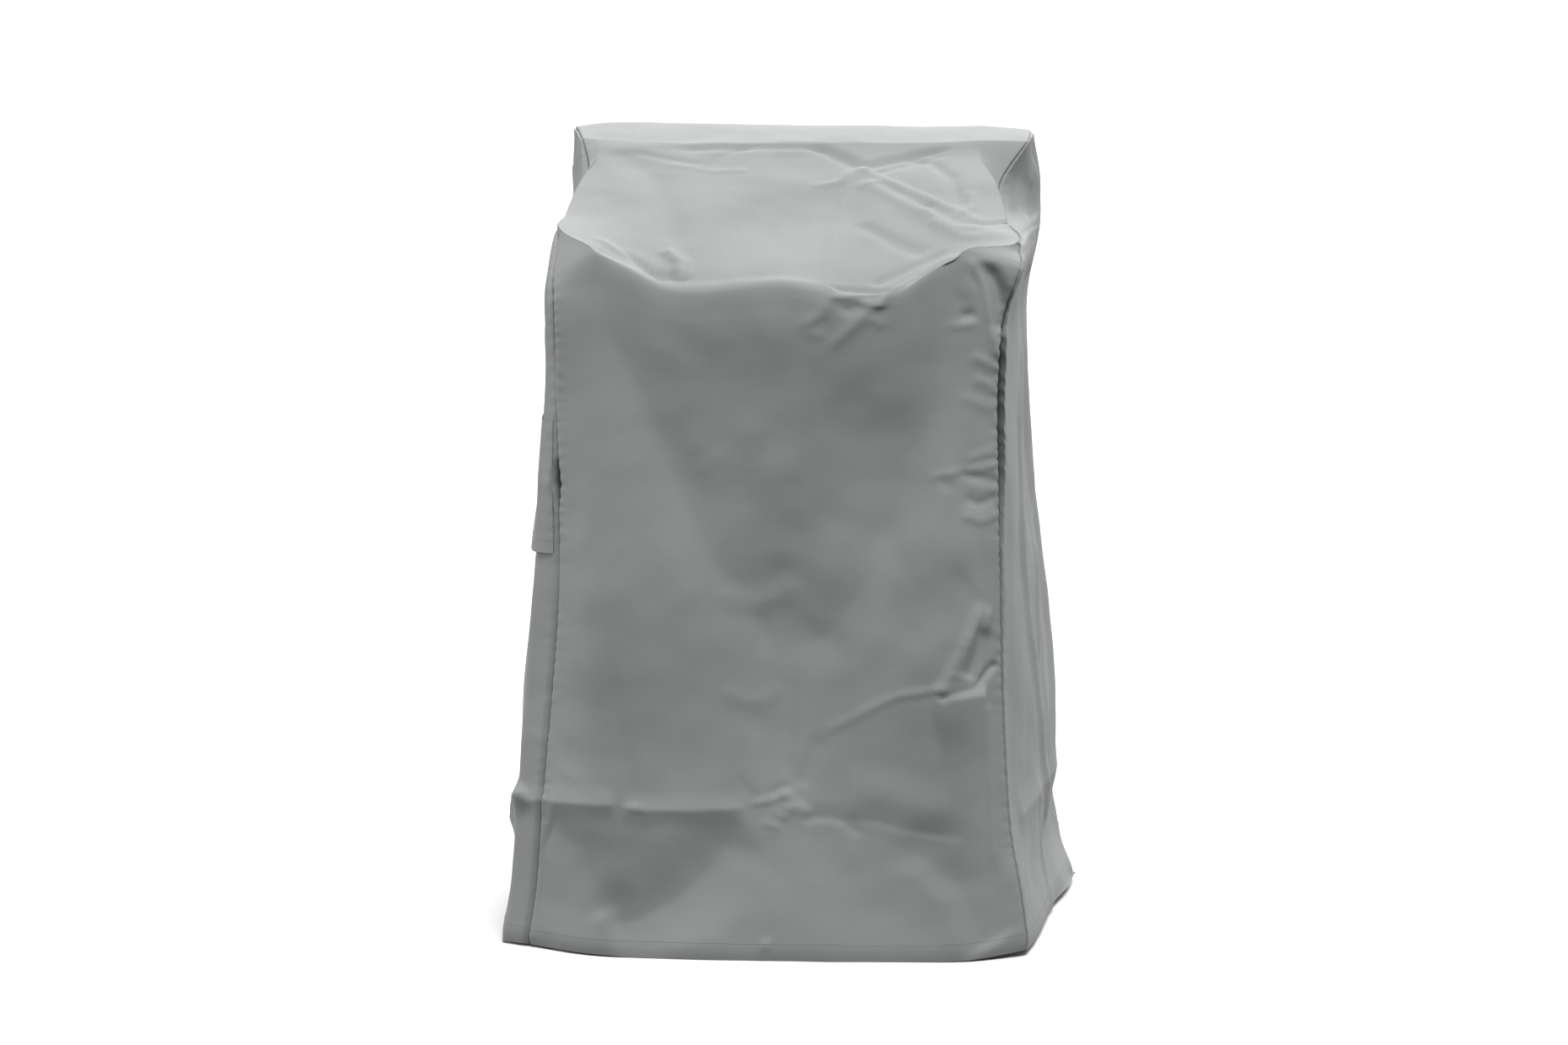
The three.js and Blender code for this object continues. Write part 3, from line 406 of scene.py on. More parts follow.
# Creases that are too fine for the model's solids. The star is the crumple in the middle of the
# low packing crease, and the pinch is the tuck at the lower right seam.
STRIP_CREASES = {
    "lip under the slope": Fold(2.2, 10, ((56, 892), (101, 912), (139, 917)), 0.6, (14, 14)),
    "upright crumple at the edge": Fold(
        2, 15, ((57, 950), (62, 899), (51, 867), (26, 850)), 0.6, (6, 8)
    ),
    "foot of the crumple": Fold(1.2, 12, ((22, 856), (34, 838), (54, 832)), 0.5, (4, 6)),
    "dark facet at the edge": Fold(-4, 24, ((70, 872), (88, 880), (108, 892)), 0.2, (12, 12)),
    "ridge over the dark facet": Fold(
        2.6, 17, ((117, 906), (109, 877), (99, 856), (75, 832), (48, 806)), 0.5, (8, 40)
    ),
    "light spot": Fold(1.4, 12, ((110, 864), (134, 840)), 0.5, (10, 10)),
    "hook in the right arm": Fold(-2, 13, ((268, 908), (264, 888), (258, 868)), 0.5, (6, 8)),
    "pocket under the right arm": Fold(-4.5, 11, ((230, 841), (258, 838)), 0.6, (10, 8), 0.2),
    "lip of the arm's pocket": Fold(1.6, 9, ((212, 831), (237, 828), (262, 832)), 0.6, (14, 12)),
    "gather below the arm": Fold(-4, 10, ((284, 836), (300, 832)), 0.5, (4, 0)),
    "second gather below the arm": Fold(-4, 10, ((282, 816), (302, 810)), 0.5, (4, 0)),
    "arc of the star": Fold(2, 10, ((-40, 205), (-17, 209), (0, 217), (9, 216)), 0.6, (8, 4), 0.2),
    "limb of the star": Fold(3.2, 17, ((4, 228), (15, 207), (40, 196)), 0.7, (6, 8), -0.2),
    "fold down the star": Fold(2.6, 16, ((13, 206), (-1, 184)), 0.7, (4, 5), -0.3),
    "small rib below the star": Fold(1.4, 10, ((-28, 182), (0, 175)), 0.6, (4, 4)),
    "crescent right of the star": Fold(
        -2.2, 18, ((26, 186), (44, 193), (62, 195), (82, 191), (108, 172)), 0.5, (8, 14), 0.4
    ),
    "dark facet left of the top": Fold(-1.6, 10, ((-14, 216), (3, 232)), 0.5, (3, 4)),
    "dark slant left of the star": Fold(
        -1.2, 14, ((-64, 242), (-46, 222), (-30, 208)), 0.5, (12, 6)
    ),
    "crease down from the star": Fold(-1.2, 11, ((-14, 166), (-17, 94), (-18, 20)), 0.9, (6, 2)),
    "pleat under the right arm": Fold(2.4, 12, ((246, 794), (286, 778)), 0.7, (12, 2), -0.3),
    "second pleat under the right arm": Fold(2.2, 11, ((248, 767), (286, 750)), 0.7, (12, 2), -0.3),
    "third pleat under the right arm": Fold(1.6, 13, ((228, 746), (284, 722)), 0.6, (16, 4)),
    "fourth pleat under the right arm": Fold(1.8, 11, ((240, 662), (286, 672)), 0.7, (12, 2)),
    "crisp foot of the dark band": Fold(
        -1.2, 22, ((86, 195), (126, 194), (176, 185), (250, 178)), 0.6, (8, 30), 0.5
    ),
    "nub at the hem": Fold(3, 14, ((-24, 24), (-14, 18)), 0.5, (2, 2)),
    "light below the pinch": Fold(
        2.5, 14, ((281, 340), (283, 276), (286, 200), (290, 110)), 0.7, (10, 40)
    ),
    "wrinkle above the pinch": Fold(0.9, 6, ((234, 424), (256, 422)), 0.6, (4, 4)),
    "second wrinkle above the pinch": Fold(0.7, 6, ((240, 433), (259, 432)), 0.6, (4, 4)),
    "upper crease at the right seam": Fold(
        2.2, 11, ((189, 637), (230, 645), (286, 653)), 0.8, (14, 2)
    ),
    "slant at the right seam": Fold(-2, 10, ((206, 643), (218, 629), (226, 621)), 0.7, (4, 4)),
    "second crease at the right seam": Fold(
        -3, 12, ((234, 647), (255, 640), (290, 632)), 0.8, (6, 2)
    ),
    "pocket at the right seam": Fold(
        -3.6, 14, ((243, 612), (264, 604), (290, 610)), 0.7, (6, 2), 0.3
    ),
    "lip of the seam pocket": Fold(2.4, 12, ((240, 592), (266, 584), (292, 590)), 0.7, (6, 2)),
    "slant into the dark fold": Fold(
        -1.2, 14, ((-190, 190), (-188, 135), (-184, 90)), 0.8, (4, 16)
    ),
    "faint fold on the left flank": Fold(
        0.8, 40, ((-170, 560), (-128, 440), (-100, 330)), 0.2, (60, 40)
    ),
    "tuck beside the left arm": Fold(
        7, 15, ((-170, 1008), (-144, 984), (-146, 946)), 0.7, (6, 8), 0.3
    ),
    "shade of that tuck": Fold(-6, 17, ((-219, 982), (-184, 952), (-158, 936)), 0.5, (10, 8)),
    "crease by the left arm": Fold(3, 16, ((-262, 984), (-226, 968), (-196, 984)), 0.5, (8, 14)),
    "shade under the top edge": Fold(
        -3, 26, ((-190, 1306), (-60, 1316), (40, 1322)), 0.2, (40, 20)
    ),
    "wrinkle under the top, left": Fold(
        -1.8, 14, ((-234, 1285), (-181, 1263), (-133, 1247)), 0.4, (16, 16)
    ),
    "second wrinkle under the top": Fold(
        1.4, 14, ((-192, 1250), (-120, 1226), (-60, 1230)), 0.4, (16, 20)
    ),
    "left pleat under the top": Fold(
        -2.4, 18, ((-60, 1338), (-110, 1280), (-140, 1200)), 0.5, (10, 60)
    ),
    "middle crease of the slope": Fold(
        2.5, 18, ((67, 1236), (67, 1148), (58, 1008), (58, 944)), 0.9, (20, 6)
    ),
    "short crease beside the V": Fold(3, 16, ((86, 1242), (60, 1196), (20, 1176)), 0.6, (6, 20)),
    "sharp crease from the V": Fold(
        3.5, 14, ((88, 1238), (150, 1168), (204, 1112), (262, 1052)), 0.9, (6, 30), -0.3
    ),
    "facet under the sharp crease": Fold(
        -3, 20, ((104, 1190), (150, 1138), (186, 1100)), 0.3, (14, 14)
    ),
    "fan of creases, right": Fold(-3, 14, ((94, 1218), (159, 1256), (208, 1288)), 0.5, (14, 20)),
    "crease to the right corner": Fold(
        -3.5, 16, ((146, 1274), (182, 1253), (211, 1208), (229, 1102)), 0.6, (10, 20)
    ),
    "ridge beside the corner crease": Fold(
        2.5, 14, ((214, 1064), (240, 1102), (238, 1165)), 0.6, (10, 14)
    ),
    "pleat over the right arm": Fold(
        -4.5, 16, ((85, 1072), (140, 1030), (186, 1001)), 0.6, (20, 12)
    ),
    "crumple over the right arm": Fold(
        3.5, 12, ((184, 1070), (233, 1020), (265, 1005)), 0.6, (10, 10)
    ),
    "second crumple over the right arm": Fold(
        -3.5, 13, ((175, 1122), (223, 1054), (261, 1044), (308, 1066)), 0.7, (14, 10)
    ),
}

# Folds on the side panels, by [depth, height] places
SIDE_FOLDS = {
    "left": {
        "slanting fold low on the front": Fold(
            9, 30, ((-254, 212), (-180, 160), (-60, 128)), 0.8, (6, 60)
        ),
        "hanging fold behind the arm": Fold(
            5, 60, ((-60, 860), (-20, 600), (10, 300), (40, 60)), 0.2, (60, 120)
        ),
        "hollow before the back": Fold(-9, 80, ((150, 900), (150, 560), (170, 160)), 0, (120, 120)),
        "fold from the top corner": Fold(
            5, 40, ((240, 1030), (120, 940), (-20, 860)), 0.4, (20, 40)
        ),
        "upright crease at the back": Fold(
            3, 26, ((230, 960), (236, 500), (250, 60)), 0.6, (60, 60)
        ),
        "low packing crease": Fold(3, 40, ((-150, 170), (60, 176), (260, 172)), 0.7, (40, 30)),
    },
    "right": {
        "hanging fold under the arm": Fold(
            6,
            40,
            ((60, 800), (-60, 690), (-86, 534), (-70, 420), (-27, 320), (30, 220), (120, 90)),
            0.6,
            (60, 60),
        ),
        "hollow before the back": Fold(-7, 70, ((150, 820), (120, 600), (140, 240)), 0, (100, 120)),
        "fold to the hem": Fold(4, 28, ((-60, 200), (0, 100), (20, 0)), 0.6, (20, 0)),
        "fold at the back corner": Fold(5, 32, ((300, 84), (250, 42), (228, 8)), 0.6, (10, 10)),
        "fold from the top corner": Fold(
            6, 36, ((236, 1030), (150, 965), (10, 880)), 0.6, (20, 30)
        ),
        "second hanging fold": Fold(4, 30, ((190, 620), (60, 480), (0, 330)), 0.5, (50, 60)),
        "crease under the top corner": Fold(
            -4, 26, ((200, 1010), (90, 900), (20, 820)), 0.4, (20, 40)
        ),
        "low packing crease": Fold(3, 36, ((-220, 176), (0, 180), (240, 176)), 0.7, (30, 30)),
    },
}

# Gentle unevenness of the hanging cloth: how long its waves are, and their share of its height
UNEVENNESS = {
    "strip": ({"size": 130, "share": 1, "seed": 3}, {"size": 45, "share": 0.35, "seed": 9}),
    "side": ({"size": 140, "share": 1, "seed": 21}, {"size": 50, "share": 0.3, "seed": 27}),
}

# At each seam, by height on the front: the groove's depth and width, the puckers' depth, and how
# far the side panel swells out beside it
SEAM_PLAN = {
    "left": (
        {"height": 0, "depth": 6, "width": 3.5, "pucker": 0.8, "swell": 0},
        {"height": 420, "depth": 6, "width": 3.5, "pucker": 1.0, "swell": 0},
        {"height": 500, "depth": 3, "width": 4, "pucker": 1.2, "swell": 0},
        {"height": 590, "depth": 5, "width": 5, "pucker": 1.2, "swell": 2},
        {"height": 625, "depth": 22, "width": 9, "pucker": 1.5, "swell": 4},
        {"height": 660, "depth": 4, "width": 5, "pucker": 1.2, "swell": 2},
        {"height": 760, "depth": 2.5, "width": 5, "pucker": 1.4, "swell": 0},
        {"height": 880, "depth": 8, "width": 7, "pucker": 1.5, "swell": 2},
        {"height": 930, "depth": 3, "width": 6, "pucker": 1.2, "swell": 0},
        {"height": 1010, "depth": 5, "width": 5, "pucker": 1.2, "swell": 0},
        {"height": 1080, "depth": 6, "width": 6, "pucker": 1.0, "swell": 0},
    ),
    "right": (
        {"height": 0, "depth": 6, "width": 3.5, "pucker": 0.8, "swell": 0},
        {"height": 300, "depth": 7, "width": 4, "pucker": 1.2, "swell": 0},
        {"height": 480, "depth": 9, "width": 5, "pucker": 1.6, "swell": 0.5},
        {"height": 600, "depth": 16, "width": 7, "pucker": 2.4, "swell": 1.5},
        {"height": 650, "depth": 26, "width": 8, "pucker": 2.6, "swell": 3},
        {"height": 720, "depth": 30, "width": 9, "pucker": 2.6, "swell": 3.5},
        {"height": 800, "depth": 28, "width": 9, "pucker": 2.8, "swell": 3},
        {"height": 840, "depth": 14, "width": 7, "pucker": 2.6, "swell": 1.2},
        {"height": 880, "depth": 7, "width": 6, "pucker": 2.0, "swell": 0.5},
        {"height": 930, "depth": 5, "width": 6, "pucker": 1.4, "swell": 0},
        {"height": 1010, "depth": 6, "width": 6, "pucker": 1.4, "swell": 0},
        {"height": 1080, "depth": 9, "width": 8, "pucker": 1.2, "swell": 0},
    ),
}

PUCKER_SEEDS = {"left": {"strip": 31, "side": 41}, "right": {"strip": 37, "side": 47}}
# Puckers of a side panel are longer than the strip's by this factor
SIDE_PUCKER_LENGTH = 1.3
# The deepest groove of a seam that runs over the top or down the back
BACK_GROOVE = 6
# Folds flatten out this close to a seam: the strip's fine creases, and all of a side panel's
STRIP_CALM = 10
SIDE_CALM = 24

# The vent flap on the left side panel: between which of the strip's sections its lower and upper
# edges lie, from and to which share of the side's columns it reaches, and how it stands off
FLAP = {
    "bottom": ("knee", "seat", 0.31),
    "top": ("seat", "under the arms", 0.55),
    "front": 1 / 60,
    "back": 5 / 12,
    "rows": 56,
    "columns": 48,
    "clearance": 0.6,
    "lift": 5.0,
    "ripple": 1.6,
    "hem_stitch": 17,
    "top_stitches": (2, 16),
}

# Stitches: how far apart they are by their length, how far from a row's ends they stop, how much
# each tilts, how flat its thread lies and how far it stands out, both by the thread's thickness
STITCH = {"spacing": 1.25, "from_ends": 7, "tilt": 0.04, "flatness": 0.8, "stand": 0.25}

# The studio's broad lights: which way each one shines, and how wide it looks in degrees
SUNS = {
    "sky_light": {"direction": (-0.15, -0.79, -0.59), "spread": 50},
    "front_light": {"direction": (-0.15, 0.44, -0.88), "spread": 35},
    "right_light": {"direction": (-0.99, 0, -0.12), "spread": 40},
    "left_light": {"direction": (0.99, 0, -0.12), "spread": 40},
}
# The floor's length in metres, and the width of the camera's sensor in millimetres
FLOOR_SIZE = 400
SENSOR_WIDTH = 36


# Smooth lines and folds


def unit(vectors):
    """Vectors of length one."""
    return vectors / np.maximum(np.linalg.norm(vectors, axis=-1, keepdims=True), 1e-12)


def ease(share):
    """A smooth step from 0 to 1."""
    share = np.clip(share, 0, 1)
    return share * share * (3 - 2 * share)


class GuideLine:
    """Smooth lines through points, many side by side. A bend of 1 at a point is a crisp corner."""

    def __init__(self, stations, points, bends):
        self.stations = stations
        self.points = points
        span = np.diff(stations, axis=-1)[..., None]
        pace = np.diff(points, axis=-2) / span
        before = np.concatenate([pace[..., :1, :], pace], axis=-2)
        after = np.concatenate([pace, pace[..., -1:, :]], axis=-2)
        span_before = np.concatenate([span[..., :1, :], span], axis=-2)
        span_after = np.concatenate([span, span[..., -1:, :]], axis=-2)
        smooth = before + (after - before) * span_before / (span_before + span_after)
        bend = np.asarray(bends, float)[..., None]
        self.arriving = smooth + (before - smooth) * bend
        self.leaving = smooth + (after - smooth) * bend

    def between(self, index, share):
        """The points at a share of the way from one guide point to the next."""
        span = (self.stations[..., index + 1] - self.stations[..., index])[..., None]
        start = self.points[..., index, :] * (2 * share**3 - 3 * share**2 + 1)
        end = self.points[..., index + 1, :] * (3 * share**2 - 2 * share**3)
        leaving = self.leaving[..., index, :] * span * (share**3 - 2 * share**2 + share)
        arriving = self.arriving[..., index + 1, :] * span * (share**3 - share**2)
        return start + end + leaving + arriving

    def at(self, where):
        """The points of one line at many stations."""
        last = len(self.stations) - 2
        index = np.clip(np.searchsorted(self.stations, where, side="right") - 1, 0, last)
        share = (where - self.stations[index]) / (self.stations[index + 1] - self.stations[index])
        return self.between(index, share[:, None])


def running_length(points):
    """Running length along lines of points, from zero, along the second last axis."""
    steps = np.linalg.norm(np.diff(points, axis=-2), axis=-1)
    start = np.zeros(steps.shape[:-1] + (1,))
    return np.concatenate([start, np.cumsum(steps, axis=-1)], axis=-1)


def fold_lift(folds, places):
    """How far all folds together lift the cloth at each place of a flat panel."""
    lift = np.zeros(places.shape[:-1])
    for fold in folds.values():
        path = np.array(fold.path, float)
        runs = running_length(path)
        nearest = np.full(lift.shape, np.inf)
        run = np.zeros(lift.shape)
        side = np.zeros(lift.shape)
        for start, end, before in zip(path[:-1], path[1:], runs[:-1]):
            leg = end - start
            to_place = places - start
            share = np.clip((to_place @ leg) / (leg @ leg), 0, 1)
            distance = np.linalg.norm(to_place - share[..., None] * leg, axis=-1)
            closer = distance < nearest
            nearest = np.where(closer, distance, nearest)
            run = np.where(closer, before + share * np.linalg.norm(leg), run)
            turn = np.sign(leg[0] * to_place[..., 1] - leg[1] * to_place[..., 0])
            side = np.where(closer, turn, side)
        share = nearest / (fold.width * (1 + fold.lean * side))
        profile = (0.5 + 0.5 * np.cos(np.pi * np.minimum(share, 1))) * (1 - fold.crest)
        profile += np.maximum(1 - share, 0) ** 2 * fold.crest
        fade = ease(run / fold.fade[0]) if fold.fade[0] else 1
        fade = fade * (ease((runs[-1] - run) / fold.fade[1]) if fold.fade[1] else 1)
        lift += fold.rise * fade * profile
    return lift


def grid_normals(grid):
    """Outward normals of a grid whose columns and rows turn right-handed to the outside."""
    along_rows = np.gradient(grid, axis=1)
    along_columns = np.gradient(grid, axis=0)
    return unit(np.cross(along_rows, along_columns))


def unevenness(places, size, height, seed):
    """Gentle random unevenness of hanging cloth, by place on the flat panel."""
    flat = places.reshape(-1, 2) / size
    values = [noise.noise(Vector((x, y, seed))) for x, y in flat]
    return height * np.array(values).reshape(places.shape[:-1])


def pucker_wave(run, pitch, seed):
    """How far the thread draws the cloth in along a seam, from 0 to 1, a little uneven."""
    drift_length = 60
    change_length = 25
    drift = np.array([noise.noise(Vector((r / drift_length, seed, 0))) for r in run])
    change = np.array([noise.noise(Vector((r / change_length, seed, 5))) for r in run])
    turn = run / pitch + 1.1 * drift
    return (0.5 + 0.5 * np.cos(2 * np.pi * turn)) ** 2 * (0.75 + 0.5 * change)


def bilinear(field, rows, columns):
    """Values of a grid at fractional rows and columns."""
    i = np.clip(np.floor(rows).astype(int), 0, field.shape[0] - 2)
    j = np.clip(np.floor(columns).astype(int), 0, field.shape[1] - 2)
    a = (rows - i)[:, None, None]
    b = (columns - j)[None, :, None]
    low = field[np.ix_(i, j)] * (1 - b) + field[np.ix_(i, j + 1)] * b
    high = field[np.ix_(i + 1, j)] * (1 - b) + field[np.ix_(i + 1, j + 1)] * b
    return low * (1 - a) + high * a


def at_station(stations, line, station):
    """A line's point at a station along it."""
    return np.array([np.interp(station, stations, line[:, axis]) for axis in range(line.shape[1])])


# The shape of the whole cover, worked out once and shared by its pieces


def section_points():
    """Guide points by section and guide."""
    return np.array([list(zip(s.across, s.depth, s.height)) for s in SECTIONS], float)


def section_stations():
    """Places of the sections along the cloth: the mean run of the two seams and the middle."""
    points = section_points().transpose(1, 0, 2)
    return running_length(points[[0, MIDDLE_GUIDE, -1]]).mean(axis=0)


def row_stations(stations):
    """Stations of the strip's rows, denser over the parts with fine creases."""
    rows = [0.0]
    starts = [plan["start"] for plan in ROW_PLAN[1:]] + [stations[-1]]
    for plan, end in zip(ROW_PLAN, starts):
        count = max(1, round((end - plan["start"]) / plan["row"]))
        rows.extend(np.linspace(rows[-1], end, count + 1)[1:])
    rows = np.array(rows)
    rows[np.argmin(abs(rows - stations[TOP_FRONT]))] = stations[TOP_FRONT]
    rows[np.argmin(abs(rows - stations[TOP_BACK]))] = stations[TOP_BACK]
    return rows


def strip_surface(stations, rows):
    """The strip before its folds: its points and how far each lies from the middle line."""
    points = section_points().transpose(1, 0, 2)
    edge_bends = np.array([s.edge_bend for s in SECTIONS])
    guides = np.stack([GuideLine(stations, line, edge_bends).at(rows) for line in points], axis=1)
    ridge_bend = np.interp(rows, stations, [s.ridge_bend for s in SECTIONS])
    bends = np.zeros(guides.shape[:2])
    bends[:, 1] = ridge_bend
    bends[:, -2] = ridge_bend
    lines = GuideLine(running_length(guides), guides, bends)
    columns = [guides[:, 0]]
    for index, plan in enumerate(COLUMN_PLAN):
        for step in range(1, plan["columns"] + 1):
            share = step / plan["columns"]
            share = share ** plan["crowd_start"]
            share = 1 - (1 - share) ** plan["crowd_end"]
            columns.append(lines.between(index, share))
    grid = np.stack(columns, axis=1)
    middle = sum(plan["columns"] for plan in COLUMN_PLAN[:MIDDLE_GUIDE])
    runs = running_length(grid)
    return grid, runs - runs[:, middle : middle + 1]


def side_surface(side, stations, rows, seam):
    """A side panel before its folds, in rows from the hem up and columns from front to back."""
    front_rows = int(np.searchsorted(rows, stations[TOP_FRONT] - 1e-6)) + 1
    front = seam[:front_rows]
    back_start = int(np.searchsorted(rows, stations[TOP_BACK] - 1e-6))
    back = seam[back_start:]
    back_station = np.interp(-front[:, 2], -back[:, 2], rows[back_start:])
    spread_table = np.array([level[side] for level in SIDE_SPREAD], float)
    spread_stations = stations[: TOP_FRONT + 1]
    spread = GuideLine(spread_stations, spread_table, np.zeros(len(spread_stations)))
    spread = spread.at(rows[:front_rows])
    turns = np.linspace(0, 1, SIDE_COLUMNS + 1)
    shares = turns - SIDE_CROWDING * np.sin(2 * np.pi * turns) / (2 * np.pi)
    lines = np.array(SIDE_LINES[side], float)
    grid = np.zeros((front_rows, SIDE_COLUMNS + 1, 3))
    for i in range(front_rows):
        end = at_station(rows, seam, back_station[i])
        levels = np.array([front[i, 0], *spread[i], end[0]])[:, None]
        grid[i] = front[i] + (end - front[i]) * shares[:, None]
        grid[i, :, 0] = GuideLine(lines, levels, np.array(SIDE_BENDS[side])).at(shares)[:, 0]
    top_station = stations[TOP_FRONT] + (stations[TOP_BACK] - stations[TOP_FRONT]) * turns
    top = np.stack([at_station(rows, seam, station) for station in top_station])
    blend_length = 40
    share = ease(1 - (rows[front_rows - 1] - rows[:front_rows]) / blend_length)
    grid += (top - grid[-1]) * share[:, None, None]
    return grid, back_station, top_station


class Panel:
    """A panel's outer face as a grid, with its flat places and its folds' height."""

    def __init__(self, grid, flat, lift):
        self.grid = grid
        self.flat = flat
        self.lift = lift


class SidePanel(Panel):
    """A side panel, with its outward directions and where its back and top meet the strip."""

    def __init__(self, grid, flat, lift, outward, back_station, top_station):
        super().__init__(grid, flat, lift)
        self.outward = outward
        self.back_station = back_station
        self.top_station = top_station


class SewnSeam:
    """How both cloths roll in along the seam between the strip and a side panel."""

    def __init__(self, side, rows, line, front_rows, inward, pitch):
        plan = SEAM_PLAN[side]
        heights = [level["height"] for level in plan]
        self.rows = rows
        self.levels = {
            column: np.interp(line[:, 2], heights, [level[column] for level in plan])
            for column in ("depth", "width", "pucker", "swell")
        }
        behind = np.arange(len(line)) >= front_rows
        depth = self.levels["depth"]
        self.levels["depth"] = np.where(behind, np.minimum(depth, BACK_GROOVE), depth)
        self.levels["swell"] = np.where(behind, 0, self.levels["swell"])
        # Where the side panel swells out, the groove runs straight back behind it
        straight_back = np.array([0, 0.5, 0])
        self.inward = unit(inward + straight_back * self.levels["swell"][:, None])
        run = running_length(line)
        seeds = PUCKER_SEEDS[side]
        self.waves = {
            "strip": pucker_wave(run, pitch, seeds["strip"]),
            "side": pucker_wave(run, pitch * SIDE_PUCKER_LENGTH, seeds["side"]),
        }

    def at(self, values, where):
        """Values given by row of the strip, at stations along it."""
        return np.interp(where, self.rows, values)

    def roll(self, distance, cloth, where):
        """Moves into the groove, and the puckers' depth, of points at a distance from the seam."""
        pucker_reach = 13
        pucker_start = 2
        wave = self.at(self.waves[cloth], where)
        scallop = 0.3 if cloth == "strip" else 0
        reach = self.at(self.levels["width"], where)[:, None] * (0.9 + scallop * wave[:, None])
        depth = self.at(self.levels["depth"], where)[:, None]
        groove = depth * np.maximum(1 - distance / reach, 0) ** 2
        pucker = self.at(self.levels["pucker"], where)
        draw = (pucker * wave)[:, None] * np.exp(-((distance / pucker_reach) ** 2))
        draw = draw * ease(distance / pucker_start)
        direction = np.stack([self.at(self.inward[:, a], where) for a in range(3)], axis=-1)
        return direction[:, None] * groove[..., None], draw


class CoverShape:
    """All panels of the cover, which meet along shared seam lines."""

    def __init__(self, sizes):
        self.sizes = sizes
        self.stations = section_stations()
        self.rows = row_stations(self.stations)
        base, across = strip_surface(self.stations, self.rows)
        flat = np.stack([across, np.broadcast_to(self.rows[:, None], across.shape)], axis=-1)
        main_lift = fold_lift(STRIP_FOLDS, flat)
        fine_lift = self.add_unevenness(fold_lift(STRIP_CREASES, flat), flat, "strip")
        from_seam = np.minimum(across - across[:, :1], across[:, -1:] - across)
        lift = main_lift + fine_lift * ease(from_seam / STRIP_CALM)
        normals = grid_normals(base)
        self.strip = Panel(base + normals * lift[..., None], flat, lift)
        seamed = base + normals * main_lift[..., None]
        self.seams = {"left": seamed[:, 0], "right": seamed[:, -1]}
        self.sides = {side: self.make_side(side) for side in FACING}
        for side in FACING:
            self.sew(side)
        self.roll_hem(self.strip.grid, grid_normals(self.strip.grid), self.rows)

    def add_unevenness(self, lift, places, cloth):
        """Adds a cloth's gentle unevenness to its folds' height."""
        for wave in UNEVENNESS[cloth]:
            height = wave["share"] * self.sizes.unevenness / MM
            lift = lift + unevenness(places, wave["size"], height, wave["seed"])
        return lift

    def make_side(self, side):
        """A side panel with its folds, in rows from the hem and columns from the front seam."""
        grid, back_station, top_station = side_surface(
            side, self.stations, self.rows, self.seams[side]
        )
        places = grid[..., 1:]
        lift = self.add_unevenness(fold_lift(SIDE_FOLDS[side], places), places, "side")
        across = running_length(grid)
        up = running_length(grid.transpose(1, 0, 2)).T
        from_seam = np.minimum(across, across[:, -1:] - across)
        from_seam = np.minimum(from_seam, up[-1] - up)
        lift = lift * ease(from_seam / SIDE_CALM)
        outward = grid_normals(grid) * FACING[side]
        return SidePanel(
            grid + outward * lift[..., None],
            np.stack([across, up], axis=-1),
            lift,
            outward,
            back_station,
            top_station,
        )

    def way_out(self, side):
        """Along a seam, the way out of the joint: between the two cloths' outward directions."""
        panel = self.sides[side]
        column = 0 if side == "left" else -1
        strip_normals = grid_normals(self.strip.grid)[:, column]
        side_normals = grid_normals(panel.grid) * FACING[side]
        front_stations = self.rows[: len(panel.grid)]
        stations = np.concatenate(
            [front_stations, panel.top_station[1:], panel.back_station[::-1][1:]]
        )
        normals = np.concatenate(
            [side_normals[:, 0], side_normals[-1, 1:], side_normals[::-1, -1][1:]]
        )
        side_normals = [np.interp(self.rows, stations, normals[:, a]) for a in range(3)]
        return unit(strip_normals + np.stack(side_normals, axis=1))

    def sew(self, side):
        """Rolls both cloths in along their seam, with the puckers that the thread draws."""
        seam = SewnSeam(
            side,
            self.rows,
            self.seams[side],
            len(self.sides[side].grid),
            -self.way_out(side),
            self.sizes.pucker_pitch / MM,
        )
        self.roll_strip_edge(side, seam)
        self.roll_side_edges(side, seam)

    def roll_strip_edge(self, side, seam):
        """Rolls in the strip's edge at one side."""
        across = self.strip.flat[..., 0]
        distance = across - across[:, :1] if side == "left" else across[:, -1:] - across
        move, draw = seam.roll(distance, "strip", self.rows)
        pucker = grid_normals(self.strip.grid) * draw[..., None]
        self.strip.grid = self.strip.grid + move - pucker
        self.strip.lift = self.strip.lift - draw

    def roll_side_edges(self, side, seam):
        """Rolls in the front, back and top edges of a side panel, and its hem."""
        panel = self.sides[side]
        normals = grid_normals(panel.grid) * FACING[side]
        from_front = panel.flat[..., 0]
        from_back = from_front[:, -1:] - from_front
        from_top = panel.flat[-1, :, 1] - panel.flat[..., 1]
        front_stations = self.rows[: len(panel.grid)]
        top_move, top_draw = seam.roll(from_top.T, "side", panel.top_station)
        moves = (
            seam.roll(from_front, "side", front_stations),
            seam.roll(from_back, "side", panel.back_station),
            (top_move.transpose(1, 0, 2), top_draw.T),
        )
        total = np.zeros_like(panel.grid)
        draws = np.zeros(panel.grid.shape[:2])
        for move, draw in moves:
            bigger = np.linalg.norm(move, axis=-1) > np.linalg.norm(total, axis=-1)
            total = np.where(bigger[..., None], move, total)
            draws = np.maximum(draws, draw)
        swell_place = from_front / 10
        swell = seam.at(seam.levels["swell"], front_stations)[:, None]
        swell = swell * swell_place * np.exp(1 - swell_place)
        panel.grid = panel.grid + total + normals * (swell - draws)[..., None]
        panel.lift = panel.lift - draws
        self.roll_hem(panel.grid, normals, panel.flat[:, 0, 1], both_ends=False)

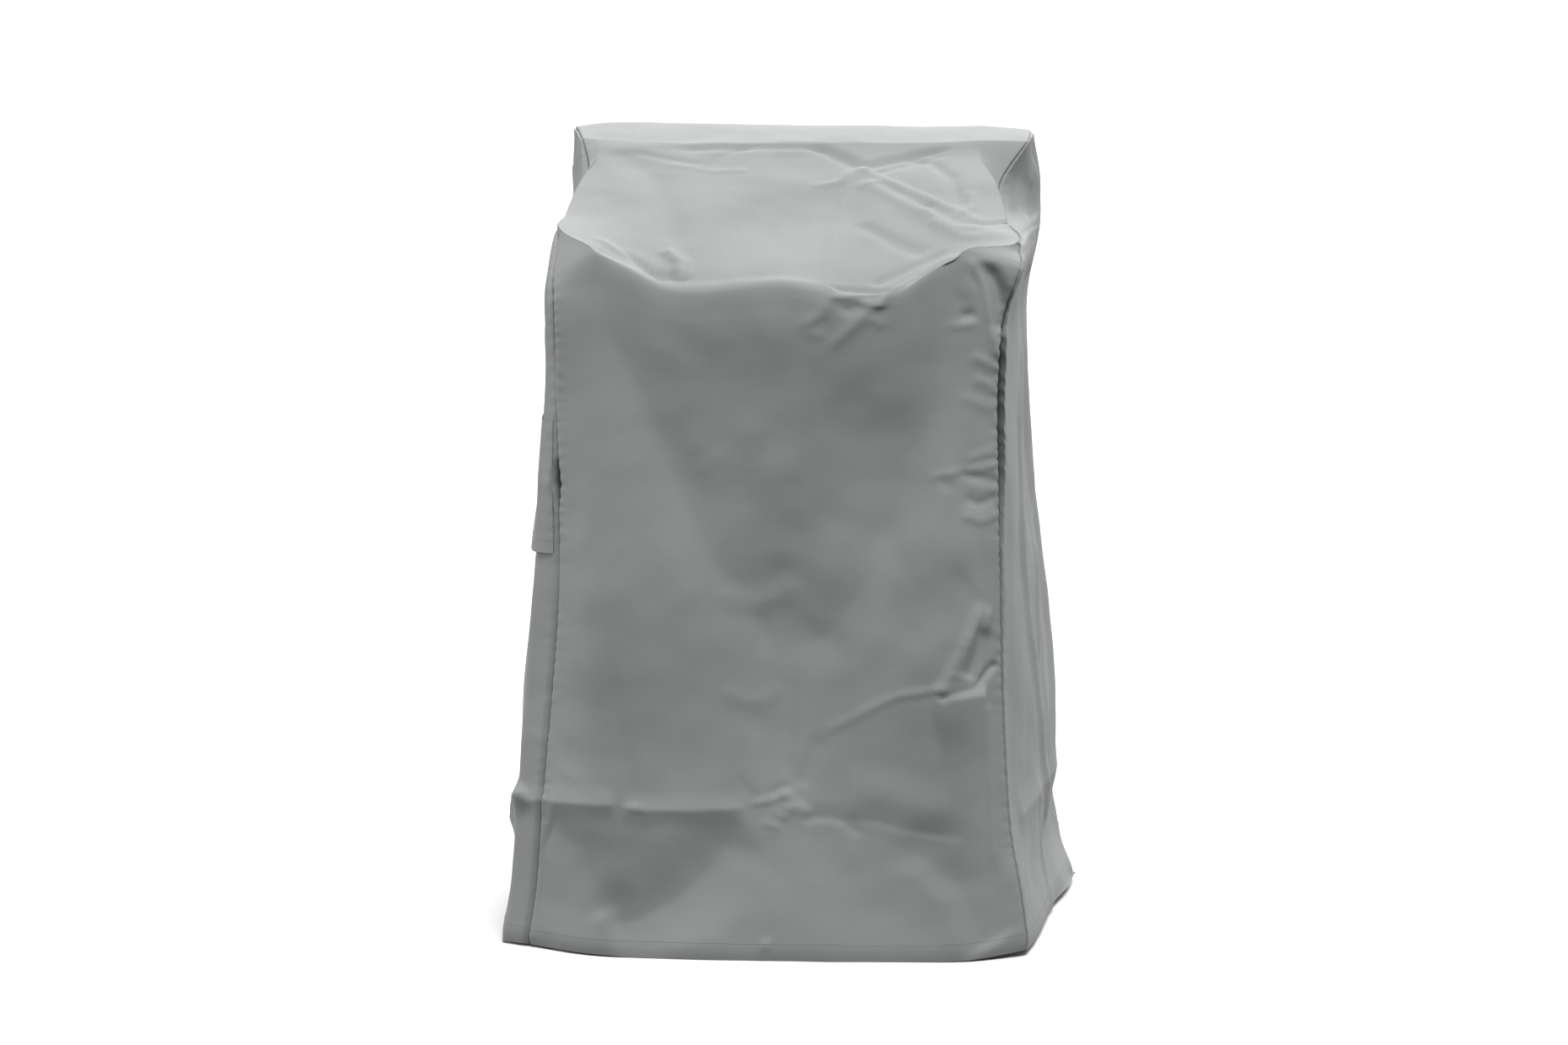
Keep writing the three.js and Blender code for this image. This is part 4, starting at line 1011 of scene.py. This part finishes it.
    def roll_hem(self, grid, normals, runs, both_ends=True):
        """Turns the lowest cloth a little inwards, where the hem is sewn double."""
        hem = self.sizes.hem / MM
        roll = self.sizes.hem_roll / MM
        share = np.maximum(1 - runs / hem, 0)
        if both_ends:
            share = np.maximum(share, np.maximum(1 - (runs[-1] - runs) / hem, 0))
        grid -= normals * (roll * share**2)[:, None, None]


def flap_panel(shape):
    """The vent flap's outer face, standing off the left side panel towards its lower edge."""
    panel = shape.sides["left"]
    station = {}
    for end in ("bottom", "top"):
        below, above, share = FLAP[end]
        sections = [shape.stations[SECTION_NAMES.index(name)] for name in (below, above)]
        station[end] = np.interp(share, [0, 1], sections)
    rows = np.linspace(station["bottom"], station["top"], FLAP["rows"] + 1)
    columns = np.linspace(FLAP["front"], FLAP["back"], FLAP["columns"] + 1) * SIDE_COLUMNS
    rows = np.interp(rows, shape.rows[: len(panel.grid)], np.arange(len(panel.grid)))
    base = bilinear(panel.grid, rows, columns)
    outward = unit(bilinear(panel.outward, rows, columns))
    drop = (1 - np.linspace(0, 1, len(rows)))[:, None]
    across = np.linspace(0, 1, len(columns))[None]
    # It stands off most in the middle of its open lower edge
    fullness = np.sin(np.pi * across) ** 0.7
    lift = FLAP["lift"] * fullness * drop**1.2
    lift += FLAP["ripple"] * fullness * np.sin(np.pi * drop) * np.sin(5 * across + 3 * drop)
    stand_off = FLAP["clearance"] + shape.sizes.thickness / MM + np.maximum(lift, 0)
    grid = base + outward * stand_off[..., None]
    flat = np.stack([running_length(grid), running_length(grid.transpose(1, 0, 2)).T], axis=-1)
    return Panel(grid, flat, lift)


@functools.cache
def shape_of_cover():
    """The cover's shape, worked out once."""
    return CoverShape(bpy.context.scene.cover_sizes)


# Making meshes


def deselect_all():
    """Leaves nothing selected, since operators act on all that is."""
    bpy.ops.object.select_all(action="DESELECT")


def finish_cloth(piece):
    """Gives a sheet its thickness inwards and its smooth shading."""
    smooth_angle = 60
    deselect_all()
    piece.select_set(True)
    bpy.context.view_layer.objects.active = piece
    bpy.ops.object.modifier_add(type="SOLIDIFY")
    solidify = piece.modifiers[-1]
    solidify.thickness = bpy.context.scene.cover_sizes.thickness
    solidify.offset = -1
    bpy.ops.object.modifier_apply(modifier=solidify.name)
    bpy.ops.object.shade_smooth_by_angle(angle=math.radians(smooth_angle))


def cloth_sheet(name, panel, facing=1):
    """A sheet of cloth on a panel's outer face, with its own cloth map."""
    worn_bend = 0.4
    grid = panel.grid[:, ::facing]
    flat = panel.flat[:, ::facing]
    lift = panel.lift[:, ::facing]
    row_count, column_count = lift.shape
    deselect_all()
    bpy.ops.mesh.primitive_grid_add(
        x_subdivisions=column_count - 1, y_subdivisions=row_count - 1, size=1
    )
    piece = bpy.context.object
    piece.name = name
    mesh = piece.data
    mesh.name = name
    cell_places = np.empty(len(mesh.vertices) * 3)
    mesh.vertices.foreach_get("co", cell_places)
    cell_places = cell_places.reshape(-1, 3)
    column = np.rint((cell_places[:, 0] + 0.5) * (column_count - 1)).astype(int)
    row = np.rint((cell_places[:, 1] + 0.5) * (row_count - 1)).astype(int)
    mesh.vertices.foreach_set("co", (grid[row, column] * MM).ravel())
    corner_vertex = np.empty(len(mesh.loops), dtype=int)
    mesh.loops.foreach_get("vertex_index", corner_vertex)
    cloth_map = mesh.uv_layers[0]
    cloth_map.name = CLOTH_MAP
    cloth_map.data.foreach_set("uv", (flat[row, column][corner_vertex] * MM).ravel())
    bend = abs(lift_curvature(lift, flat))
    crease = mesh.attributes.new(CREASE_LAYER, "FLOAT", "POINT")
    crease.data.foreach_set("value", np.clip(bend[row, column] / worn_bend, 0, 1))
    mesh.materials.append(cloth_material())
    mesh.update()
    finish_cloth(piece)
    return piece


def lift_curvature(lift, flat):
    """How sharply the folds turn, per millimetre."""
    along = flat[:, 0, 1]
    across = flat[len(flat) // 2, :, 0]
    turn_along = np.gradient(np.gradient(lift, along, axis=0), along, axis=0)
    turn_across = np.gradient(np.gradient(lift, across, axis=1), across, axis=1)
    return turn_along + turn_across


def grid_line(panel, station, facing):
    """Points and outward directions along a row of a panel at a length from its lowest row."""
    runs = panel.flat[:, panel.flat.shape[1] // 2, 1]
    place = np.array([np.interp(station, runs, np.arange(len(runs)))])
    columns = np.arange(panel.grid.shape[1], dtype=float)
    points = bilinear(panel.grid, place, columns)[0]
    normals = bilinear(grid_normals(panel.grid) * facing, place, columns)[0]
    return points, unit(normals)


def stitch_rows(lines, sizes, thread):
    """One small thread loop, copied along each line of points."""
    deselect_all()
    bpy.ops.mesh.primitive_uv_sphere_add(segments=6, ring_count=4, radius=0.5)
    piece = bpy.context.object
    ball = np.array([vertex.co[:] for vertex in piece.data.vertices])
    # The sphere's faces come in another order each time
    faces = sorted(tuple(polygon.vertices) for polygon in piece.data.polygons)
    wobble = random.Random(sizes.stitch_seed)
    length = sizes.stitch / MM
    thick = sizes.thread / MM
    margin = STITCH["from_ends"]
    loops = []
    for points, normals in lines:
        run = running_length(points)
        for centre in np.arange(margin, run[-1] - margin, length * STITCH["spacing"]):
            place = at_station(run, points, centre)
            up = unit(at_station(run, normals, centre))
            ahead = at_station(run, points, centre + 1) - at_station(run, points, centre - 1)
            ahead = unit(ahead + STITCH["tilt"] * wobble.uniform(-1, 1) * up)
            aside = np.cross(up, ahead)
            loop = (
                ball[:, :1] * length * ahead
                + ball[:, 1:2] * thick * aside
                + ball[:, 2:] * thick * STITCH["flatness"] * up
            )
            loops.append(place + up * thick * STITCH["stand"] + loop)
    all_faces = [
        tuple(corner + index * len(ball) for corner in face)
        for index in range(len(loops))
        for face in faces
    ]
    mesh = piece.data.copy()
    mesh.clear_geometry()
    mesh.from_pydata(np.concatenate(loops) * MM, [], all_faces)
    piece.data = mesh
    piece.name = "stitches"
    mesh.name = "stitches"
    mesh.materials.append(thread)
    bpy.ops.object.shade_smooth()
    return piece


# Colours and finishes


def linear(hex_colour):
    """An sRGB hex colour as linear red, green and blue."""
    values = [int(hex_colour[i : i + 2], 16) / 255 for i in (1, 3, 5)]
    return tuple(v / 12.92 if v <= 0.04045 else ((v + 0.055) / 1.055) ** 2.4 for v in values)


def add_node(material, kind, settings=None, **links):
    """Adds a shader node with its settings, and links or sets its inputs by their names."""
    tree = material.node_tree
    node = tree.nodes.new(kind)
    for key, value in (settings or {}).items():
        setattr(node, key, value)
    for key, value in links.items():
        socket = node.inputs[int(key[1:])] if key[0] == "_" else node.inputs[key.replace("_", " ")]
        if isinstance(value, bpy.types.NodeSocket):
            tree.links.new(value, socket)
        else:
            socket.default_value = value
    return node


def repeats(millimetres):
    """A texture's scale for a pattern that repeats at this size."""
    return 1 / (millimetres * MM)


def set_inputs(shader, values):
    """Sets constants on a surface shader's own sockets."""
    for name, value in values.items():
        shader.inputs[name].default_value = value


def new_material(name):
    """An empty node material with its surface shader."""
    material = bpy.data.materials.new(name)
    material.use_nodes = True
    shader = material.node_tree.nodes["Principled BSDF"]
    return material, shader


def coated_polyester(colours):
    """Woven polyester with a matt waterproof coating.

    The plain weave has threads about 0.3 mm apart, too fine to show, so it is drawn 2.5 mm wide as
    faint slubs both ways. The coating gives the eye a soft, even sheen and pale worn creases.
    """
    material, shader = new_material("coated_polyester")
    tree = material.node_tree
    cloth_map = add_node(material, "ShaderNodeUVMap", {"uv_map": CLOTH_MAP}).outputs["UV"]
    slubs = []
    for stretch in ((1.0, 0.09, 1.0), (0.09, 1.0, 1.0)):
        mapping = add_node(material, "ShaderNodeMapping", Vector=cloth_map, Scale=stretch)
        slub = add_node(
            material,
            "ShaderNodeTexNoise",
            Vector=mapping.outputs["Vector"],
            Scale=repeats(2.5),
            Detail=1.0,
        )
        slubs.append(slub.outputs["Fac"])
    weave = add_node(material, "ShaderNodeMath", {"operation": "ADD"}, _0=slubs[0], _1=slubs[1])
    bent = add_node(material, "ShaderNodeTexNoise", Vector=cloth_map, Scale=repeats(80), Detail=2.0)
    bent_map = add_node(
        material,
        "ShaderNodeMixRGB",
        {"blend_type": "LINEAR_LIGHT"},
        Fac=0.03,
        Color1=cloth_map,
        Color2=bent.outputs["Color"],
    )
    crumple = add_node(
        material,
        "ShaderNodeTexVoronoi",
        {"feature": "F1"},
        Vector=bent_map.outputs["Color"],
        Scale=repeats(55),
    )
    crumple_bump = add_node(
        material,
        "ShaderNodeBump",
        Strength=0.5,
        Distance=0.0011,
        Height=crumple.outputs["Distance"],
    )
    weave_bump = add_node(
        material,
        "ShaderNodeBump",
        Strength=0.35,
        Distance=0.00022,
        Height=weave.outputs["Value"],
        Normal=crumple_bump.outputs["Normal"],
    )
    tree.links.new(weave_bump.outputs["Normal"], shader.inputs["Normal"])
    cloud = add_node(
        material, "ShaderNodeTexNoise", Vector=cloth_map, Scale=repeats(110), Detail=4.0
    )
    tone = add_node(
        material,
        "ShaderNodeMapRange",
        Value=cloud.outputs["Fac"],
        From_Min=0.3,
        From_Max=0.7,
    )
    cloth = add_node(
        material,
        "ShaderNodeMix",
        {"data_type": "RGBA"},
        Factor=tone.outputs["Result"],
        _6=(*colours.cloth_dark, 1),
        _7=(*colours.cloth, 1),
    )
    crease = add_node(material, "ShaderNodeAttribute", {"attribute_name": CREASE_LAYER})
    worn = add_node(
        material,
        "ShaderNodeMix",
        {"data_type": "RGBA"},
        Factor=crease.outputs["Fac"],
        _6=cloth.outputs[2],
        _7=(*colours.worn, 1),
    )
    tree.links.new(worn.outputs[2], shader.inputs["Base Color"])
    gloss = add_node(
        material,
        "ShaderNodeMapRange",
        Value=weave.outputs["Value"],
        From_Min=0.7,
        From_Max=1.3,
        To_Min=0.66,
        To_Max=0.76,
    )
    tree.links.new(gloss.outputs["Result"], shader.inputs["Roughness"])
    set_inputs(shader, {"IOR": 1.4, "Sheen Weight": 0.04, "Sheen Roughness": 0.5})
    return material


def cloth_material():
    """The cover's one cloth, shared by its panels."""
    found = bpy.data.materials.get("coated_polyester")
    return found or coated_polyester(bpy.context.scene.cover_colours)


def polyester_thread(colours):
    """Twisted polyester sewing thread, with a faint ply every millimetre and painted shade between
    plies.
    """
    material, shader = new_material("polyester_thread")
    place = add_node(material, "ShaderNodeTexCoord").outputs["Object"]
    ply = add_node(material, "ShaderNodeTexNoise", Vector=place, Scale=repeats(1), Detail=1.0)
    # Painted shade: the darker colour falls where the ply bump is low, in the grooves between the
    # plies
    tone = add_node(
        material,
        "ShaderNodeMix",
        {"data_type": "RGBA"},
        Factor=ply.outputs["Fac"],
        _6=(*colours.thread_groove_shade, 1),
        _7=(*colours.thread, 1),
    )
    bump = add_node(
        material, "ShaderNodeBump", Strength=0.5, Distance=0.0001, Height=ply.outputs["Fac"]
    )
    material.node_tree.links.new(tone.outputs[2], shader.inputs["Base Color"])
    material.node_tree.links.new(bump.outputs["Normal"], shader.inputs["Normal"])
    set_inputs(shader, {"Roughness": 0.6, "Sheen Weight": 0.2})
    return material


def studio_floor(colours):
    """Matt white painted board, with a faint roller grain."""
    material, shader = new_material("studio_floor")
    place = add_node(material, "ShaderNodeTexCoord").outputs["Object"]
    grain = add_node(material, "ShaderNodeTexNoise", Vector=place, Scale=repeats(4), Detail=2.0)
    bump = add_node(
        material, "ShaderNodeBump", Strength=0.1, Distance=0.0002, Height=grain.outputs["Fac"]
    )
    material.node_tree.links.new(bump.outputs["Normal"], shader.inputs["Normal"])
    set_inputs(shader, {"Base Color": (*colours.floor, 1), "Roughness": 0.85})
    return material


def studio_room(studio):
    """The room's own white light, brighter overhead than below."""
    room = bpy.data.worlds.new("studio_room")
    room.use_nodes = True
    tree = room.node_tree
    direction = add_node(room, "ShaderNodeTexCoord").outputs["Generated"]
    height = add_node(room, "ShaderNodeSeparateXYZ", Vector=direction).outputs["Z"]
    strength = add_node(
        room,
        "ShaderNodeMapRange",
        Value=height,
        From_Min=-1.0,
        From_Max=1.0,
        To_Min=studio.room_below,
        To_Max=studio.room_above,
    )
    background = tree.nodes["Background"]
    background.inputs["Color"].default_value = (1, 1, 1, 1)
    tree.links.new(strength.outputs["Result"], background.inputs["Strength"])
    return room


def soft_sun(name, direction, spread, strength):
    """A broad soft light from far away. A strength of 1 lights a white board facing it fully."""
    light = bpy.data.lights.new(name, "SUN")
    light.energy = strength * math.pi
    light.angle = math.radians(spread)
    lamp = bpy.data.objects.new(name, light)
    bpy.context.collection.objects.link(lamp)
    lamp.rotation_euler = Vector(direction).to_track_quat("-Z", "Y").to_euler()


# Sizes and colours that a user would change


def size_property(name, description, metres):
    """A length that a user can change."""
    return FloatProperty(name=name, description=description, default=metres, unit="LENGTH")


def light_property(name, description, strength):
    """A light's strength that a user can change."""
    return FloatProperty(name=name, description=description, default=strength)


def colour_property(name, description, hex_colour):
    """A colour that a user can change, from an sRGB hex value."""
    return FloatVectorProperty(
        name=name,
        description=description,
        subtype="COLOR",
        size=3,
        min=0,
        max=1,
        default=linear(hex_colour),
    )


class CoverSizes(bpy.types.PropertyGroup):
    """Sizes of the cover's cloth, hems and stitches."""

    thickness: size_property("Cloth", "Thickness of the cloth", 0.0014)
    hem: size_property("Hem", "Height of the sewn hem", 0.022)
    hem_roll: size_property("Hem roll", "How far the hem turns inwards", 0.0035)
    unevenness: size_property("Unevenness", "Height of the gentle unevenness", 0.003)
    pucker_pitch: size_property("Pucker pitch", "From one seam pucker to the next", 0.016)
    stitch: size_property("Stitch", "Length of a stitch", 0.0036)
    thread: size_property("Thread", "Thickness of the thread", 0.0007)
    stitch_seed: IntProperty(
        name="Stitch seed", description="Seed of the stitches' wobble", default=7
    )


class CoverColours(bpy.types.PropertyGroup):
    """Colours of the cloth, its thread and the floor."""

    cloth: colour_property("Cloth", "Colour of the cloth", "#7a7c7c")
    cloth_dark: colour_property("Cloth, darker", "Darker clouds in the cloth", "#767878")
    worn: colour_property("Worn creases", "Colour of the cloth on sharp creases", "#818383")
    thread: colour_property("Thread", "Colour of the thread", "#7d7f7f")
    # Painted shade for the grooves between the thread's plies
    thread_groove_shade: colour_property("Thread, darker", "Shaded plies of the thread", "#6b6d6d")
    floor: colour_property("Floor", "Colour of the studio floor", "#d2d2d2")


class StudioSettings(bpy.types.PropertyGroup):
    """Places and strengths of the studio's camera and lights."""

    camera_place: FloatVectorProperty(
        name="Camera",
        description="Place of the camera",
        subtype="TRANSLATION",
        default=(0.4323, -6.9789, 1.4),
        unit="LENGTH",
    )
    camera_yaw: FloatProperty(
        name="Yaw",
        description="Turn of the camera to the left",
        subtype="ANGLE",
        default=math.radians(3.636),
    )
    camera_pitch: FloatProperty(
        name="Pitch",
        description="Tilt of the camera downwards",
        subtype="ANGLE",
        default=math.radians(6.976),
    )
    lens: FloatProperty(name="Lens", description="Focal length in millimetres", default=117.7)
    room_above: light_property("Room above", "Light from overhead", 0.3)
    room_below: light_property("Room below", "Light from below", 0.08)
    sky_light: light_property("Sky light", "Light from behind and above", 1.08)
    front_light: light_property("Front light", "Light from high in front", 1.42)
    right_light: light_property("Right light", "Light from the right wall", 0.28)
    left_light: light_property("Left light", "Light from the left wall", 0.95)


def dress(piece, node=None):
    """Puts a finished piece in its node's place."""
    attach(piece, "root")
    if node:
        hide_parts(node)


# One operator for each piece or group of like pieces


class COVER_OT_main_panel(bpy.types.Operator):
    """The strip of cloth that makes the front, the slope, the top and the back"""

    bl_idname = "cover.main_panel"
    bl_label = "Main Panel"

    def execute(self, context):
        piece = cloth_sheet("main_cloth", shape_of_cover().strip)
        dress(piece, "main_panel")
        return {"FINISHED"}


class COVER_OT_side_panels(bpy.types.Operator):
    """The two side panels, sewn to the strip all round but for the floor"""

    bl_idname = "cover.side_panels"
    bl_label = "Side Panels"

    def execute(self, context):
        for side, panel in shape_of_cover().sides.items():
            piece = cloth_sheet(f"{side}_side_cloth", panel, FACING[side])
            dress(piece, f"{side}_side_panel")
        return {"FINISHED"}


class COVER_OT_vent_flap(bpy.types.Operator):
    """The flap on the left side panel, sewn at its top and ends and open below"""

    bl_idname = "cover.vent_flap"
    bl_label = "Vent Flap"

    def execute(self, context):
        piece = cloth_sheet("flap_cloth", flap_panel(shape_of_cover()), FACING["left"])
        dress(piece, "vent_flap")
        return {"FINISHED"}


class COVER_OT_stitches(bpy.types.Operator):
    """Rows of stitches on the hems and on the vent flap"""

    bl_idname = "cover.stitches"
    bl_label = "Stitches"

    def execute(self, context):
        shape = shape_of_cover()
        sizes = context.scene.cover_sizes
        hem = sizes.hem / MM
        lines = [grid_line(shape.strip, station, 1) for station in (hem, shape.rows[-1] - hem)]
        for side, panel in shape.sides.items():
            lines.append(grid_line(panel, hem, FACING[side]))
        flap = flap_panel(shape)
        top = flap.flat[-1, 0, 1]
        stations = [FLAP["hem_stitch"]] + [top - below for below in FLAP["top_stitches"]]
        lines.extend(grid_line(flap, station, FACING["left"]) for station in stations)
        thread = polyester_thread(context.scene.cover_colours)
        dress(stitch_rows(lines, sizes, thread))
        return {"FINISHED"}


class COVER_OT_studio(bpy.types.Operator):
    """The floor, the lights and the camera"""

    bl_idname = "cover.studio"
    bl_label = "Studio"

    def execute(self, context):
        studio = context.scene.cover_studio
        deselect_all()
        bpy.ops.mesh.primitive_plane_add(size=FLOOR_SIZE)
        floor = context.object
        floor.name = "studio_floor"
        floor.data.materials.append(studio_floor(context.scene.cover_colours))
        floor.visible_diffuse = False
        context.scene.world = studio_room(studio)
        for name, sun in SUNS.items():
            soft_sun(name, sun["direction"], sun["spread"], getattr(studio, name))
        context.scene.view_settings.view_transform = "Standard"
        camera_data = bpy.data.cameras.new("camera")
        camera_data.lens = studio.lens
        camera_data.sensor_width = SENSOR_WIDTH
        camera = bpy.data.objects.new("camera", camera_data)
        context.collection.objects.link(camera)
        camera.location = studio.camera_place
        camera.rotation_euler = (math.pi / 2 - studio.camera_pitch, 0, studio.camera_yaw)
        context.scene.camera = camera
        return {"FINISHED"}


class VIEW3D_PT_chair_cover(bpy.types.Panel):
    """Lists the cover's pieces and its studio"""

    bl_label = "Chair Cover"
    bl_space_type = "VIEW_3D"
    bl_region_type = "UI"
    bl_category = "Chair Cover"

    def draw(self, context):
        layout = self.layout
        for operator in OPERATORS:
            layout.operator(operator.bl_idname)
        for group in (
            context.scene.cover_sizes,
            context.scene.cover_colours,
            context.scene.cover_studio,
        ):
            box = layout.box()
            for name in group.__annotations__:
                box.prop(group, name)


GROUPS = {
    "cover_sizes": CoverSizes,
    "cover_colours": CoverColours,
    "cover_studio": StudioSettings,
}
OPERATORS = (
    COVER_OT_main_panel,
    COVER_OT_side_panels,
    COVER_OT_vent_flap,
    COVER_OT_stitches,
    COVER_OT_studio,
)


def register():
    for name, group in GROUPS.items():
        bpy.utils.register_class(group)
        setattr(bpy.types.Scene, name, PointerProperty(type=group))
    for operator in OPERATORS:
        bpy.utils.register_class(operator)
    bpy.utils.register_class(VIEW3D_PT_chair_cover)


def unregister():
    bpy.utils.unregister_class(VIEW3D_PT_chair_cover)
    for operator in reversed(OPERATORS):
        bpy.utils.unregister_class(operator)
    for name, group in GROUPS.items():
        delattr(bpy.types.Scene, name)
        bpy.utils.unregister_class(group)


def main():
    register()
    bpy.ops.cover.main_panel()
    bpy.ops.cover.side_panels()
    bpy.ops.cover.vent_flap()
    bpy.ops.cover.stitches()
    bpy.ops.cover.studio()


if __name__ == "__main__":
    main()
